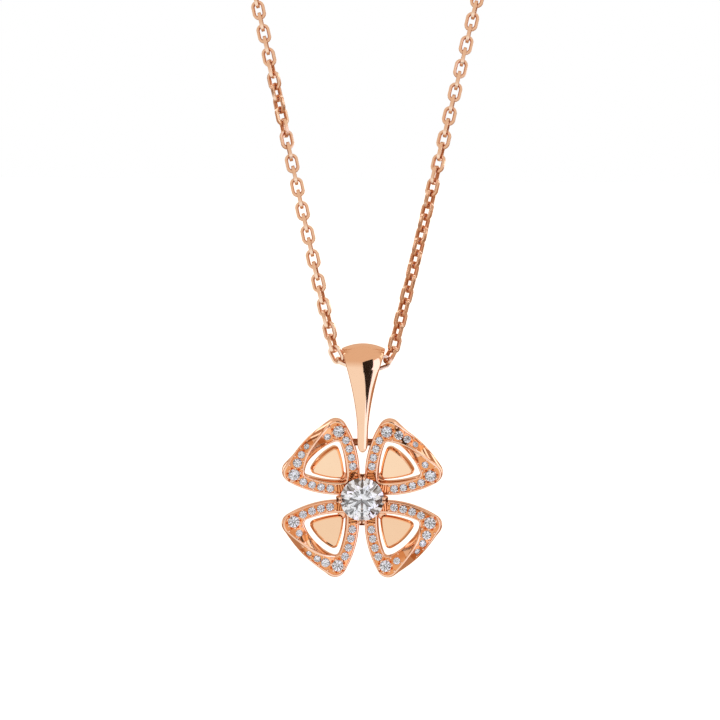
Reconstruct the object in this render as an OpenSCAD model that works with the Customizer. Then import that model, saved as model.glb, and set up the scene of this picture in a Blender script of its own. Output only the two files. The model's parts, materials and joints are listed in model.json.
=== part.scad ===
// Flower pendant necklace: a fine cable chain through a tapered bail, and a four-petal
// flower that hangs from the bail's lower end. Units are millimetres, +Z is up, the
// front faces -Y, and the origin is the middle of the clasp at the nape of the neck.
// The bail and the flower are drawn in a front frame: x to the right, y up and z
// towards the viewer, which facing() then stands upright.

/* [Chain] */
// Diameter of the round space that the crossed chain links fill
chain_d = 1.2; // [1:0.1:1.3]
// Mean radius of the ring clasp
clasp_ring_r = 2.5; // [2:0.1:2.6]
// Wire radius of the ring clasp
clasp_wire_r = 0.55; // [0.3:0.05:0.6]

/* [Bail] */
// Width of the bail at its top
bail_top_w = 4.3; // [3.9:0.1:4.3]
// Width of the bail at its tip
bail_tip_w = 1.04; // [0.9:0.02:1.06]
// Height of the bail's top above the chain
bail_top_r = 2.15; // [1.9:0.05:2.3]
// Depth of the bail's tip below the chain
bail_drop = 8.65; // [8.4:0.05:8.7]
// Radius of the bail's round hollow
bail_hollow_r = 1.05; // [1:0.05:1.2]
// Depth of the hollow's pointed lower end below the chain
bail_hollow_low = 3; // [2:0.1:3.2]
// Height that the crowned top loses at the bail's two sides
bail_crown = 0.5; // [0.3:0.1:0.7]

/* [Flower] */
// Height from the chain in the bail down to the flower's centre
flower_drop = 13.25; // [13.2:0.05:13.5]
// Height from the flower's centre up to the crossbar
crossbar_y = 5.55; // [5.4:0.05:5.6]
// Radius of the crossbar
crossbar_r = 0.35; // [0.3:0.05:0.35]
// Angle by which each petal is cupped towards the viewer
petal_cup = 9; // [5:1:10]

/* [Petal frame] */
// Half of the depth of the petal's bar
bar_half = 0.65; // [0.6:0.05:0.7]
// Bevel along the four edges of the bar
bar_bevel = 0.12; // [0.08:0.02:0.16]
// Angle that the bar turns along the outer side
bar_twist = 90; // [90]

/* [Stones] */
// Diameter of the centre stone
centre_d = 4.3; // [4.2:0.1:4.4]
// Diameter of the stone at each outer corner of a petal
corner_d = 1.15; // [1:0.05:1.15]
// Diameter of the stones along the two straight sides
side_d = 0.78; // [0.7:0.02:0.78]
// Gap between a stone and the metal round it
seat_gap = 0.03; // [0.02:0.01:0.05]

/* [Setting] */
// Outer radius of the collar below the centre stone
collar_r = 1.65; // [1.5:0.05:1.7]
// Width of each claw
claw_w = 0.44; // [0.4:0.02:0.46]
// Height of the centre stone's girdle in front of the petals' middle
girdle_z = 1.5; // [1.4:0.05:1.6]

/* [Hidden] */
SIDES = ["upper_right", "upper_left", "lower_left", "lower_right"];

gold = [0.86, 0.6, 0.44];
pale_gold = [0.96, 0.82, 0.68];
stone_white = [0.9, 0.93, 0.96];
round_fn = 48;

// Right half of the chain's route, from the clasp over the side of the neck and
// straight down to the middle of the bail
CHAIN_ROUTE = [
    [3.4, -0.2, 0], [9.4, -1.3, -0.1], [15.2, -3.6, -0.4], [20.6, -7, -0.9],
    [25.3, -11.4, -1.8], [29.2, -16.6, -3.2], [32.1, -22.2, -5.2], [34.1, -27.8, -8.1],
    [35.2, -32.4, -12], [35.3, -35.8, -16.8], [34.7, -38.5, -22], [33.5, -40.9, -28],
    [31.4, -44.2, -37], [27.8, -49.6, -52], [23.4, -56, -70], [19.1, -62.5, -88],
    [14.7, -69, -106], [10.3, -75.5, -124], [7.2, -80.2, -137], [4.8, -83.8, -147],
    [3.6, -85.5, -151.8], [3.1, -86.2, -153.8], [2.8, -86.7, -154.9],
    [2.2, -86.9, -155.7], [1.2, -87, -156], [0, -87, -156]
];
chain_sides = 8;
bail_axis = CHAIN_ROUTE[len(CHAIN_ROUTE) - 1];

// How far the crossbar lies in front of the chain, and of the flower's middle plane
crossbar_front = -0.03;
crossbar_z = 0.4;
crossbar_half = 1.3;
flower_at = bail_axis - [0, crossbar_front - crossbar_z, flower_drop];

// Petal outline, and the opening in it, as rounded triangles: corner centres, corner
// radii and side radii. Corner 0 is the clockwise one, 1 the counter-clockwise one
// and 2 the inner one, and side i runs from corner i to the next.
OUTLINE = [[[6.9, 2.68], [2.68, 6.9], [1.55, 1.55]], [1.05, 1.05, 1.2], [25, 10, 10]];
OPENING = [[[5.35, 2.65], [2.65, 5.35], [1.95, 1.95]], [0.45, 0.45, 0.35], [4.1, 9.3, 9.3]];
PLATE = [[[4.85, 2.85], [2.85, 4.85], [2.3, 2.3]], [0.35, 0.35, 0.35], [5.3, 9, 9]];
// Number of steps along each stretch, from corner 0 round to the side after corner 2
PETAL_STEPS = [6, 18, 6, 9, 5, 9];
PLATE_STEPS = [4, 8, 4, 5, 4, 5];
OUTER_SIDE = 1;
plate_back = -0.62;
plate_front = 0.3;
cup_pivot_r = 2;

// Proportions of a brilliant cut, as shares of its diameter
table_share = 0.55;
crown_share = 0.15;
girdle_share = 0.03;
pavilion_share = 0.42;

// Stones of one petal: stretch, place along it from 0 to 1, face and diameter. Face 0
// looks outward at corner 0 and forward past the twist, and face 1 looks forward at
// corner 0.
side_first = 0.125;
side_step = 0.188;
twist_first = 0.87;
twist_step = 0.167;
PETAL_STONES = concat(
    [[0, 0.5, 1, corner_d], [OUTER_SIDE, 0.13, 1, 0.64], [2, 0.5, 0, corner_d]],
    [for (i = [0:2]) [OUTER_SIDE, twist_first - twist_step * i, 0, 0.9 - 0.15 * i]],
    [for (i = [0:3]) [3, side_first + side_step * i, 0, side_d]],
    [for (i = [0:3]) [5, 1 - side_first - side_step * i, 0, side_d]]
);

function unit(v) = v / norm(v);
function flat(lists) = [for (part = lists) for (item = part) item];
function heading(v) = atan2(v[1], v[0]);
function turn_between(a0, a1) = a1 < a0 ? a1 - a0 + 360 : a1 - a0;

// Rounded triangle

function side_centre(p, q, p_r, q_r, side_r) =
    let (
        reach_p = side_r - p_r,
        reach_q = side_r - q_r,
        span = norm(q - p),
        e = (q - p) / span,
        along = (reach_p * reach_p - reach_q * reach_q + span * span) / (2 * span),
        off = sqrt(reach_p * reach_p - along * along)
    )
    p + e * along + [-e[1], e[0]] * off;

function side_centres(shape) = [
    for (i = [0:2])
        side_centre(shape[0][i], shape[0][(i + 1) % 3], shape[1][i], shape[1][(i + 1) % 3], shape[2][i])
];

function arc_point(centre, r, from, to, t) =
    let (a = from + turn_between(from, to) * t)
    centre + r * [cos(a), sin(a)];

// Point on a rounded triangle: even stretches are its corners and odd ones its sides
function triangle_point(shape, stretch, t) =
    let (
        centres = side_centres(shape),
        i = floor(stretch / 2),
        corner = shape[0][i],
        next = shape[0][(i + 1) % 3]
    )
    stretch % 2 == 0
        ? arc_point(corner, shape[1][i], heading(corner - centres[(i + 2) % 3]), heading(corner - centres[i]), t)
        : arc_point(centres[i], shape[2][i], heading(corner - centres[i]), heading(next - centres[i]), t);

function stations(steps) = flat([
    for (stretch = [0:5]) [for (i = [0:steps[stretch] - 1]) [stretch, i / steps[stretch]]]
]);

// Twisted bar of a petal

function twist_at(stretch, t) = stretch < OUTER_SIDE ? 0 : stretch > OUTER_SIDE ? bar_twist : bar_twist * t;

// Frame of the bar at a place: middle, the two face directions, and the half sizes
// along them
function bar_frame(stretch, t) =
    let (
        outer = triangle_point(OUTLINE, stretch, t),
        inner = triangle_point(OPENING, stretch, t),
        middle = (outer + inner) / 2,
        across = unit(outer - inner),
        half = norm(outer - inner) / 2,
        a = twist_at(stretch, t)
    )
    [
        [middle[0], middle[1], 0],
        [across[0] * cos(a), across[1] * cos(a), sin(a)],
        [-across[0] * sin(a), -across[1] * sin(a), cos(a)],
        norm([half * cos(a), bar_half * sin(a)]),
        norm([half * sin(a), bar_half * cos(a)])
    ];

function bar_ring(stretch, t) =
    let (
        f = bar_frame(stretch, t),
        u = f[3],
        v = f[4],
        b = bar_bevel,
        section = [
            [u, v - b], [u - b, v], [b - u, v], [-u, v - b],
            [-u, b - v], [b - u, -v], [u - b, -v], [u, b - v]
        ]
    )
    [for (s = section) f[0] + f[1] * s[0] + f[2] * s[1]];

function quad(a, b, c, d) = [[a, b, c], [a, c, d]];

// Faces of a closed loop of rings. The last ring meets the first one a quarter turn
// on, which is two of its eight points.
function loop_faces(rings, size, shift) = flat([
    for (i = [0:rings - 1]) for (k = [0:size - 1])
        let (
            last = i == rings - 1,
            near = i * size,
            far = last ? 0 : near + size,
            k_far = last ? k + shift : k
        )
        quad(near + k, far + k_far % size, far + (k_far + 1) % size, near + (k + 1) % size)
]);

module petal_bar() {
    places = stations(PETAL_STEPS);
    rings = [for (p = places) bar_ring(p[0], p[1])];
    polyhedron(points = flat(rings), faces = loop_faces(len(rings), 8, 2), convexity = 6);
}

// Stands what is drawn in the front frame upright at a point
module facing(at) {
    translate(at) rotate([90, 0, 0]) children();
}

module on_petal(i) {
    pivot = cup_pivot_r * [sin(45), sin(45), 0];
    facing(flower_at) rotate([0, 0, 90 * i])
        translate(pivot) rotate(a = petal_cup, v = [1, -1, 0]) translate(-pivot) children();
}

// Puts what stands on z = 0 onto a face of the bar
module on_bar_face(stretch, t, face) {
    f = bar_frame(stretch, t);
    normal = f[1 + face];
    translate(f[0] + normal * f[3 + face])
        rotate([0, acos(normal[2]), heading(normal)]) children();
}

module seats() {
    for (s = PETAL_STONES)
        on_bar_face(s[0], s[1], s[2])
            translate([0, 0, -s[3] * (pavilion_share + girdle_share) - seat_gap])
                cylinder(h = s[3], r = s[3] / 2 + seat_gap, $fn = 12);
}

module petal(i) {
    color(gold) difference() {
        on_petal(i) difference() {
            petal_bar();
            seats();
        }
        facing(flower_at) cylinder(h = 6, r = collar_r + seat_gap, center = true, $fn = round_fn);
        crossbar_body(crossbar_r + seat_gap, crossbar_half + seat_gap);
    }
}

// Brilliant with eight sides: a table, a ring of crown facets, a thin girdle and a
// pointed back. Its girdle stands on z = 0.
function ring_points(r, z, count, start) = [
    for (k = [0:count - 1]) [r * cos(start + 360 * k / count), r * sin(start + 360 * k / count), z]
];

module small_brilliant(d) {
    n = 8;
    points = concat(
        [[0, 0, -pavilion_share * d]],
        ring_points(d / 2, 0, n, 0),
        ring_points(d / 2, girdle_share * d, n, 0),
        ring_points(table_share * d / 2, (girdle_share + crown_share) * d, n, 180 / n)
    );
    faces = flat([
        for (k = [0:n - 1])
            let (m = (k + 1) % n, low = 1, mid = 1 + n, top = 1 + 2 * n)
            [
                [0, low + m, low + k],
                [low + k, low + m, mid + m],
                [low + k, mid + m, mid + k],
                [mid + k, mid + m, top + k],
                [mid + m, top + m, top + k]
            ]
    ]);
    table = [for (k = [0:n - 1]) 1 + 2 * n + k];
    polyhedron(points = points, faces = concat(faces, [table]), convexity = 2);
}

module pave(i) {
    color(stone_white) on_petal(i)
        for (s = PETAL_STONES)
            on_bar_face(s[0], s[1], s[2]) small_brilliant(s[3]);
}

module plate(i) {
    outline = [for (p = stations(PLATE_STEPS)) triangle_point(PLATE, p[0], p[1])];
    color(pale_gold) on_petal(i)
        translate([0, 0, plate_back]) linear_extrude(plate_front - plate_back) polygon(outline);
}

// Centre stone: its pointed back, girdle and crown grown by a gap
module stone_space(gap) {
    r = centre_d / 2 + gap;
    back_h = pavilion_share * centre_d + gap;
    rim_h = girdle_share * centre_d + gap;
    translate([0, 0, girdle_z - back_h]) cylinder(h = back_h, r1 = 0.05, r2 = r, $fn = round_fn);
    translate([0, 0, girdle_z]) cylinder(h = rim_h, r = r, $fn = round_fn);
    translate([0, 0, girdle_z + rim_h])
        cylinder(h = crown_share * centre_d, r1 = r, r2 = table_share * r, $fn = round_fn);
}

// Centre stone as the hull of its corners: table, crown, girdle and back facets
module centre_stone() {
    d = centre_d;
    crown_top = (girdle_share + crown_share) * d;
    points = concat(
        ring_points(table_share * d / 2, crown_top, 8, 22.5),
        ring_points(0.39 * d, girdle_share * d + 0.56 * crown_share * d, 8, 0),
        ring_points(d / 2, girdle_share * d, 16, 0),
        ring_points(d / 2, 0, 16, 0),
        ring_points(0.14 * d, -0.72 * pavilion_share * d, 8, 22.5),
        [[0, 0, -pavilion_share * d]]
    );
    color(stone_white) facing(flower_at) translate([0, 0, girdle_z])
        hull() polyhedron(points = points, faces = [[for (k = [0:len(points) - 1]) k]]);
}

module claw() {
    side = [
        [1.2, -0.5], [collar_r, -0.5], [2.48, 1.05], [2.58, 1.5], [2.5, 1.88],
        [2.25, 2.08], [1.9, 2.02], [1.9, 1.6], [2.1, 1.2], [1.2, 0.3]
    ];
    rotate([90, 0, 0]) linear_extrude(claw_w, center = true) polygon(side);
    for (s = [-1, 1])
        translate([2.1, s * claw_w * 0.3, 1.98]) sphere(r = 0.2, $fn = 24);
}

module setting() {
    collar_back = -1.1;
    collar_front = 0.75;
    arm_end_r = 3.5;
    arm_w = 0.8;
    color(gold) facing(flower_at) difference() {
        union() {
            translate([0, 0, collar_back])
                cylinder(h = collar_front - collar_back, r = collar_r, $fn = round_fn);
            for (i = [0:3]) rotate([0, 0, 90 * i]) claw();
            for (i = [0:3]) rotate([0, 0, 45 + 90 * i])
                translate([cup_pivot_r, 0, 0]) rotate([0, -petal_cup, 0])
                    translate([0.8 - cup_pivot_r, -arm_w / 2, -1.1]) cube([arm_end_r - 0.8, arm_w, 0.42]);
        }
        stone_space(seat_gap);
        cylinder(h = 4, r = 0.6, center = true, $fn = round_fn);
    }
}

module crossbar_body(r, half_length) {
    facing(flower_at) translate([0, crossbar_y, crossbar_z])
        rotate([0, 90, 0]) cylinder(h = 2 * half_length, r = r, center = true, $fn = round_fn);
}

module crossbar() {
    color(gold) crossbar_body(crossbar_r, crossbar_half);
}

// Half width of the bail at a height above the chain: a flared leg and a round tip
flare_low = -6.7;
flare_high = 1.7;
flare_power = 1.65;
tip_half = bail_tip_w / 2;
top_half = bail_top_w / 2;
function flare(y) = pow(max(0, min(1, (y - flare_low) / (flare_high - flare_low))), flare_power);
function tip_share(y) = sqrt(1 - pow(max(0, 1 - (y + bail_drop) / tip_half), 2));
function bail_half(y) = tip_share(y) * (tip_half + (top_half - tip_half) * flare(y));

// Radius of the crowned drum that folds over the chain, and where a level cuts it off
function drum_r(x) = bail_top_r - bail_crown * pow(x / top_half, 2);
function drum_half(y) = y > 0 ? top_half * sqrt((bail_top_r - y) / bail_crown) : top_half;

// Depth of the bail's front and back at a level, x along its width
leg_front = 0.72;
leg_back = 0.8;
back_join = 3.8;
thin_edge = 0.02;
function drum_z(x, y) = sqrt(max(thin_edge * thin_edge, pow(drum_r(x), 2) - y * y));
function crown_at(x, down) = bail_crown * (1 + 5 * down) * pow(x / top_half, 2);
function front_z(x, y) =
    let (down = -y / bail_drop)
    y > 0 ? drum_z(x, y)
        : tip_share(y) * (bail_top_r - (bail_top_r - leg_front) * pow(down, 1.3) - crown_at(x, down));
function back_z(x, y) =
    let (down = min(1, -y / back_join))
    y > 0 ? -drum_z(x, y)
        : -tip_share(y) * (leg_back + (bail_top_r - leg_back) * (1 + cos(180 * down)) / 2 - crown_at(x, 0));

// One level of the bail: its front from left to right, then its back
ACROSS = [-1, -0.8, -0.45, 0, 0.45, 0.8, 1];
function bail_ring(y) =
    let (half = min(bail_half(y), drum_half(y)))
    concat(
        [for (s = ACROSS) [s * half, y, front_z(s * half, y)]],
        [for (s = ACROSS) [-s * half, y, back_z(-s * half, y)]]
    );

module bail_body() {
    leg_steps = 15;
    drum_steps = 10;
    levels = concat(
        [for (a = [15:20:75]) tip_half * (1 - cos(a)) - bail_drop],
        [for (k = [0:leg_steps - 1]) (tip_half - bail_drop) * (1 - k / leg_steps)],
        [for (k = [0:drum_steps]) bail_top_r * sin(86 * k / drum_steps)]
    );
    size = 2 * len(ACROSS);
    last = len(levels) - 1;
    walls = flat([
        for (i = [0:last - 1]) for (k = [0:size - 1])
            let (m = (k + 1) % size)
            quad(i * size + k, i * size + m, (i + 1) * size + m, (i + 1) * size + k)
    ]);
    ends = [[for (k = [size - 1:-1:0]) k], [for (k = [0:size - 1]) last * size + k]];
    polyhedron(points = flat([for (y = levels) bail_ring(y)]), faces = concat(walls, ends), convexity = 4);
}

// Drop-shaped hollow for the chain: a round bore with a pointed lower end
module bail_hollow() {
    share = bail_hollow_r / bail_hollow_low;
    low = bail_hollow_r * share;
    side = bail_hollow_r * sqrt(1 - share * share);
    rotate([0, 90, 0]) {
        cylinder(h = 6, r = bail_hollow_r, center = true, $fn = round_fn);
        linear_extrude(6, center = true) polygon([[-side, -low], [0, -bail_hollow_low], [side, -low]]);
    }
}

module bail() {
    color(gold) facing(bail_axis) difference() {
        bail_body();
        bail_hollow();
        translate([0, crossbar_y - flower_drop, crossbar_front])
            rotate([0, 90, 0]) cylinder(h = 4, r = crossbar_r + 0.05, center = true, $fn = round_fn);
    }
}

// Chain

function tangents(route) =
    let (last = len(route) - 1)
    [for (i = [0:last]) unit(route[min(i + 1, last)] - route[max(i - 1, 0)])];

function perpendicular(v, t) = unit(v - (v * t) * t);

// Side direction at each place of the route, carried along so that rings don't turn
function carried(along, start) = [
    for (i = 0, u = perpendicular(start, along[0]);
         i < len(along);
         i = i + 1, u = i < len(along) ? perpendicular(u, along[i]) : u) u
];

module tube(route, r, n) {
    along = tangents(route);
    side = carried(along, [0, 0, 1]);
    last = len(route) - 1;
    rings = [
        for (i = [0:last]) for (k = [0:n - 1])
            let (a = 360 * k / n)
            route[i] + r * (cos(a) * side[i] + sin(a) * cross(along[i], side[i]))
    ];
    walls = flat([
        for (i = [0:last - 1]) for (k = [0:n - 1])
            let (m = (k + 1) % n)
            quad(i * n + k, i * n + m, (i + 1) * n + m, (i + 1) * n + k)
    ]);
    ends = [[for (k = [n - 1:-1:0]) k], [for (k = [0:n - 1]) last * n + k]];
    polyhedron(points = rings, faces = concat(walls, ends), convexity = 10);
}

module chain_right() {
    color(gold) tube(CHAIN_ROUTE, chain_d / 2, chain_sides);
}

module chain_left() {
    mirror([1, 0, 0]) chain_right();
}

module clasp() {
    color(gold) rotate([90, 0, 0])
        rotate_extrude($fn = round_fn) translate([clasp_ring_r, 0]) circle(r = clasp_wire_r, $fn = 24);
}

chain_left();
chain_right();
clasp();
bail();
crossbar();
setting();
centre_stone();
for (i = [0:3]) {
    petal(i);
    plate(i);
    pave(i);
}
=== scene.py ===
# %% [markdown]
# # A flower pendant necklace in rose gold
# The CAD model gives every piece its real size and place, and it never moves. This lesson dresses
# it: each visible piece is made again with the detail that a goldsmith gives it, and rides on the
# CAD body that it belongs to.
#
# Everything is in metres. The front of the flower faces -Y and up is +Z. Sizes are written in
# millimetres times MM, because that is how jewellery is measured.

# %% Load the fixed frame
import json
import math

import bmesh
import bpy
import numpy as np
from mathutils import Matrix, Vector


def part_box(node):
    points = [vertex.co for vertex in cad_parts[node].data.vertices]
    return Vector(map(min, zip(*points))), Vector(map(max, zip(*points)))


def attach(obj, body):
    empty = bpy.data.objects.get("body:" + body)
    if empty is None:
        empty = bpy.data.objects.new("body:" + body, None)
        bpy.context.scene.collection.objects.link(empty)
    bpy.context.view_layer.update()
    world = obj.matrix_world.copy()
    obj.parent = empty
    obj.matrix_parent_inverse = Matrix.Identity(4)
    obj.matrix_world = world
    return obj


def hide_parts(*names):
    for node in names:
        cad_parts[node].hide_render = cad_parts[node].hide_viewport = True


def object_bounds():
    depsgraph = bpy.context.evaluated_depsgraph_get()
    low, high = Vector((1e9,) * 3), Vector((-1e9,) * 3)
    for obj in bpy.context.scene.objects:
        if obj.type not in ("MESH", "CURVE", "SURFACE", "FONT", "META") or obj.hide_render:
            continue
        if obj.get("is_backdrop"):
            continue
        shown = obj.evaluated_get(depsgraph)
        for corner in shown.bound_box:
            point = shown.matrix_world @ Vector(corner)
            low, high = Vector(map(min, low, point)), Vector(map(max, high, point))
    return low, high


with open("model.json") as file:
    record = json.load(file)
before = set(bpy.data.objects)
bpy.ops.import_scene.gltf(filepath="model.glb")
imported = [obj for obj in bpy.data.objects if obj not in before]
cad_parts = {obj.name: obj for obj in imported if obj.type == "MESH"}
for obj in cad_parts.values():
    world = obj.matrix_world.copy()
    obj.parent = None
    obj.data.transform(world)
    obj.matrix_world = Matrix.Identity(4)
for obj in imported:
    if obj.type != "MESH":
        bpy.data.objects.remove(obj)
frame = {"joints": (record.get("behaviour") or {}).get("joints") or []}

MM = 0.001
cad_low, cad_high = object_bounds()
joint_at = {joint["name"]: Vector(joint["pos_m"]) for joint in frame["joints"]}
CHAIN_IN_BAIL = joint_at["bail_swing"]
CROSSBAR = joint_at["flower_swing"]
print("the necklace is", round((cad_high.z - cad_low.z) / MM, 1), "mm high")

# %% [markdown]
# ## The camera
# The camera comes first, so that every later picture is taken from the photo's own place. A long
# lens from 40 cm away keeps the lines straight, as in catalogue photos. In the photo 1 mm is about
# 10 pixels, so the picture is 71 mm wide. The chain inside the bail lies a little to the right of
# and below the middle of the picture.

# %% Camera
PICTURE_WIDTH = 71 * MM
LENS = 200
SENSOR = 36
CAMERA_ELEVATION = math.radians(8)
CAMERA_ROLL = math.radians(0.5)
PICTURE_MIDDLE = CHAIN_IN_BAIL + Vector((-0.33, 0, 0.5)) * MM


def add_object(name, data):
    """New object in the scene."""
    made = bpy.data.objects.new(name, data)
    bpy.context.scene.collection.objects.link(made)
    return made


def look_from(place, target):
    """Matrix that puts a camera or lamp at place and points it towards target."""
    return Matrix.Translation(place) @ (target - place).to_track_quat("-Z", "Y").to_matrix().to_4x4()


camera_data = bpy.data.cameras.new("long_lens")
camera_data.lens = LENS
camera_data.sensor_width = SENSOR
camera = add_object("camera", camera_data)
camera_distance = LENS / SENSOR * PICTURE_WIDTH
towards_camera = Vector((0, -math.cos(CAMERA_ELEVATION), math.sin(CAMERA_ELEVATION)))
camera_place = PICTURE_MIDDLE + towards_camera * camera_distance
camera.matrix_world = look_from(camera_place, PICTURE_MIDDLE) @ Matrix.Rotation(CAMERA_ROLL, 4, "Z")
bpy.context.scene.camera = camera
print("camera is", round(camera_distance / MM), "mm away")

# %% [markdown]
# ## Node trees, line by line
# The room, the materials and many shapes are node trees. A small class keeps them readable: add()
# makes one node and wires its inputs, and a group also gets named inputs and outputs.

# %% A helper that builds node trees
SOCKET_KINDS = {float: "Float", int: "Int", tuple: "Color"}


class Tree:
    """A node tree that is written as a list of steps."""

    def __init__(self, tree, inputs=None, outputs=None):
        """A group's sockets have a first value, or only the name of their kind."""
        self.tree = tree
        if not outputs:
            return
        for direction, sockets in (("INPUT", inputs), ("OUTPUT", outputs)):
            for name, value in sockets.items():
                bare = isinstance(value, str)
                kind = f"NodeSocket{value if bare else SOCKET_KINDS[type(value)]}"
                socket = tree.interface.new_socket(name, in_out=direction, socket_type=kind)
                if not bare:
                    socket.default_value = value
        self.start = tree.nodes.new("NodeGroupInput")
        self.end = tree.nodes.new("NodeGroupOutput")

    def given(self, name):
        """Output of one of the group's own inputs."""
        return self.start.outputs[name]

    def wire(self, node, inputs):
        """Inputs of a node: numbers, colours or the outputs of other nodes."""
        for key, value in inputs.items():
            socket = node.inputs[key]
            if isinstance(value, bpy.types.NodeSocket):
                self.tree.links.new(value, socket)
            else:
                socket.default_value = (*value, 1) if socket.type == "RGBA" else value

    def add(self, kind, inputs=None, out=0, **settings):
        """New node. Gives its output, or the node itself where out is None."""
        node = self.tree.nodes.new(kind)
        for setting, value in settings.items():
            setattr(node, setting, value)
        self.wire(node, inputs or {})
        return node if out is None else node.outputs[out]

    def math(self, operation, a, b=0.0):
        return self.add("ShaderNodeMath", {0: a, 1: b}, operation=operation)

    def vector(self, operation, a, b=(0.0, 0.0, 0.0)):
        out = 1 if operation in ("LENGTH", "DOT_PRODUCT") else 0
        return self.add("ShaderNodeVectorMath", {0: a, 1: b}, out, operation=operation)

    def mix(self, factor, first, second):
        """Colour between two others."""
        inputs = {"Factor": factor, "A": first, "B": second}
        return self.add("ShaderNodeMix", inputs, "Result", data_type="RGBA")


def new_material(name):
    """Material, its tree and its shader."""
    material = bpy.data.materials.new(name)
    material.use_nodes = True
    return material, Tree(material.node_tree), material.node_tree.nodes["Principled BSDF"]


print("tree helper is ready")

# %% [markdown]
# ## The studio
# Polished gold has hardly any colour of its own: it shows the room. So the room is designed, like
# a jeweller's. The camera sees white. The metal sees a white front, a dim warm room and a warm
# ceiling. The stones see a grey room with a dark lens, which gives them contrast.

# %% The room
FRONT_DIRECTION = (-20, -25)
FRONT_EDGE = (0.4, 0.7)
LENS_EDGE = (0.955, 0.985)
CEILING_EDGE = (-0.3, 0.6)
ASIDE_EDGE = (0.35, 0.6)
BEHIND_EDGE = (-0.1, 0.25)
ROOM_DIM = (0.5, 0.27, 0.15)
ROOM_FRONT = (1.0, 0.98, 0.96)
ROOM_HIGH = (0.8, 0.6, 0.46)
STONE_DIM = (0.25, 0.24, 0.24)
STONE_FRONT = (1.1, 1.1, 1.11)
STONE_LENS = (0.03, 0.03, 0.04)
STUDIO_MIDDLE = CHAIN_IN_BAIL - Vector((0, 0, 9)) * MM


def studio_direction(azimuth, elevation):
    """Direction seen from the pendant: azimuth 0 is the viewer's side, 90 the viewer's right."""
    a, e = math.radians(azimuth), math.radians(elevation)
    return Vector((math.sin(a) * math.cos(e), -math.cos(a) * math.cos(e), math.sin(e)))


def studio_place(azimuth, elevation, distance):
    return STUDIO_MIDDLE + studio_direction(azimuth, elevation) * distance


def room_colours():
    """Background for each kind of ray: the camera's, the metal's and the stones'."""
    world = bpy.data.worlds.new("warm_room")
    world.use_nodes = True
    bpy.context.scene.world = world
    room = Tree(world.node_tree)
    direction = room.add("ShaderNodeTexCoord", out="Generated")
    parts = room.add("ShaderNodeSeparateXYZ", {"Vector": direction}, None).outputs

    def share(value, edge):
        """0 below the edge, 1 above it and soft between."""
        inputs = {"Value": value, "From Min": edge[0], "From Max": edge[1]}
        return room.add("ShaderNodeMapRange", inputs, "Result", interpolation_type="SMOOTHSTEP")

    front = share(room.vector("DOT_PRODUCT", direction, studio_direction(*FRONT_DIRECTION)), FRONT_EDGE)
    lens = share(room.vector("DOT_PRODUCT", direction, towards_camera), LENS_EDGE)
    aside = share(room.math("ABSOLUTE", parts["X"]), ASIDE_EDGE)
    wings = room.math("MULTIPLY", aside, share(parts["Y"], BEHIND_EDGE))
    ceiling = room.mix(wings, ROOM_HIGH, ROOM_DIM)
    for_metal = room.mix(share(parts["Z"], CEILING_EDGE), room.mix(front, ROOM_DIM, ROOM_FRONT), ceiling)
    for_stones = room.mix(lens, room.mix(front, STONE_DIM, STONE_FRONT), STONE_LENS)
    rays = room.add("ShaderNodeLightPath", out=None).outputs
    seen = room.mix(rays["Is Transmission Ray"], for_metal, for_stones)
    seen = room.mix(rays["Is Camera Ray"], seen, (1, 1, 1))
    room.wire(world.node_tree.nodes["Background"], {"Color": seen})


room_colours()
print("the room has", len(bpy.context.scene.world.node_tree.nodes), "nodes")

# %% [markdown]
# Lit cards and soft boxes give the metal its bright parts. Two dim brown cards at the sides give
# it warm dark edges, because there it faces sideways. A small black flag stands just in front of
# the pendant, to the right of and above the flower's middle. The crowned bail shows it as the dark
# wedge, and it is so near that the plates look past below it. The camera sees only the floor. The
# floor, the cards and the flag are marked as stage, so they aren't part of the necklace.

# %% Floor, cards, flag and soft boxes
FLOOR_HALF = 4
FLOOR_DROP = 0.35
FLOOR_GLOW = (0.75, 0.75, 0.75)
BLACK = (0.01, 0.008, 0.006)
EDGE_BROWN = (0.2, 0.08, 0.03)
CARDS = {
    "right_card": ([(20, -40), (48, -40), (48, 44), (20, 24)], 0.6, (1.42, 1.38, 1.65)),
    "upper_right_card": ([(62, 22), (98, 22), (98, 52), (62, 52)], 0.6, (1.25, 1.1, 0.95)),
    "left_edge_card": ([(-78, -40), (-90, -40), (-90, 40), (-78, 40)], 0.3, EDGE_BROWN),
    "right_edge_card": ([(78, -40), (90, -40), (90, 40), (78, 40)], 0.3, EDGE_BROWN),
    "table_card": ([(-50, -48), (50, -48), (50, -82), (-50, -82)], 0.3, (0.95, 0.92, 0.88)),
}
FLAG_DISTANCE = 15
FLOWER_DROP = 13.25
FLAG_OUTLINE = [
    (-0.6, 19.2), (8.0, 26.3), (6.2, 8.9), (10.0, 4.5), (10.3, 2.2),
    (8.6, -0.8), (6.6, 2.2), (4.0, 4.2), (0, 8.9),
]
SOFT_BOX_DISTANCE = 0.6
SOFT_BOXES = {
    "back_left_box": (-140, 20, 0.14, 0.7, 1.3),
    "back_right_box": (140, 20, 0.14, 0.7, 1.3),
    "left_wing_box": (-100, 30, 0.08, 0.6, 1.0),
    "right_wing_box": (100, 30, 0.08, 0.6, 1.0),
}


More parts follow.
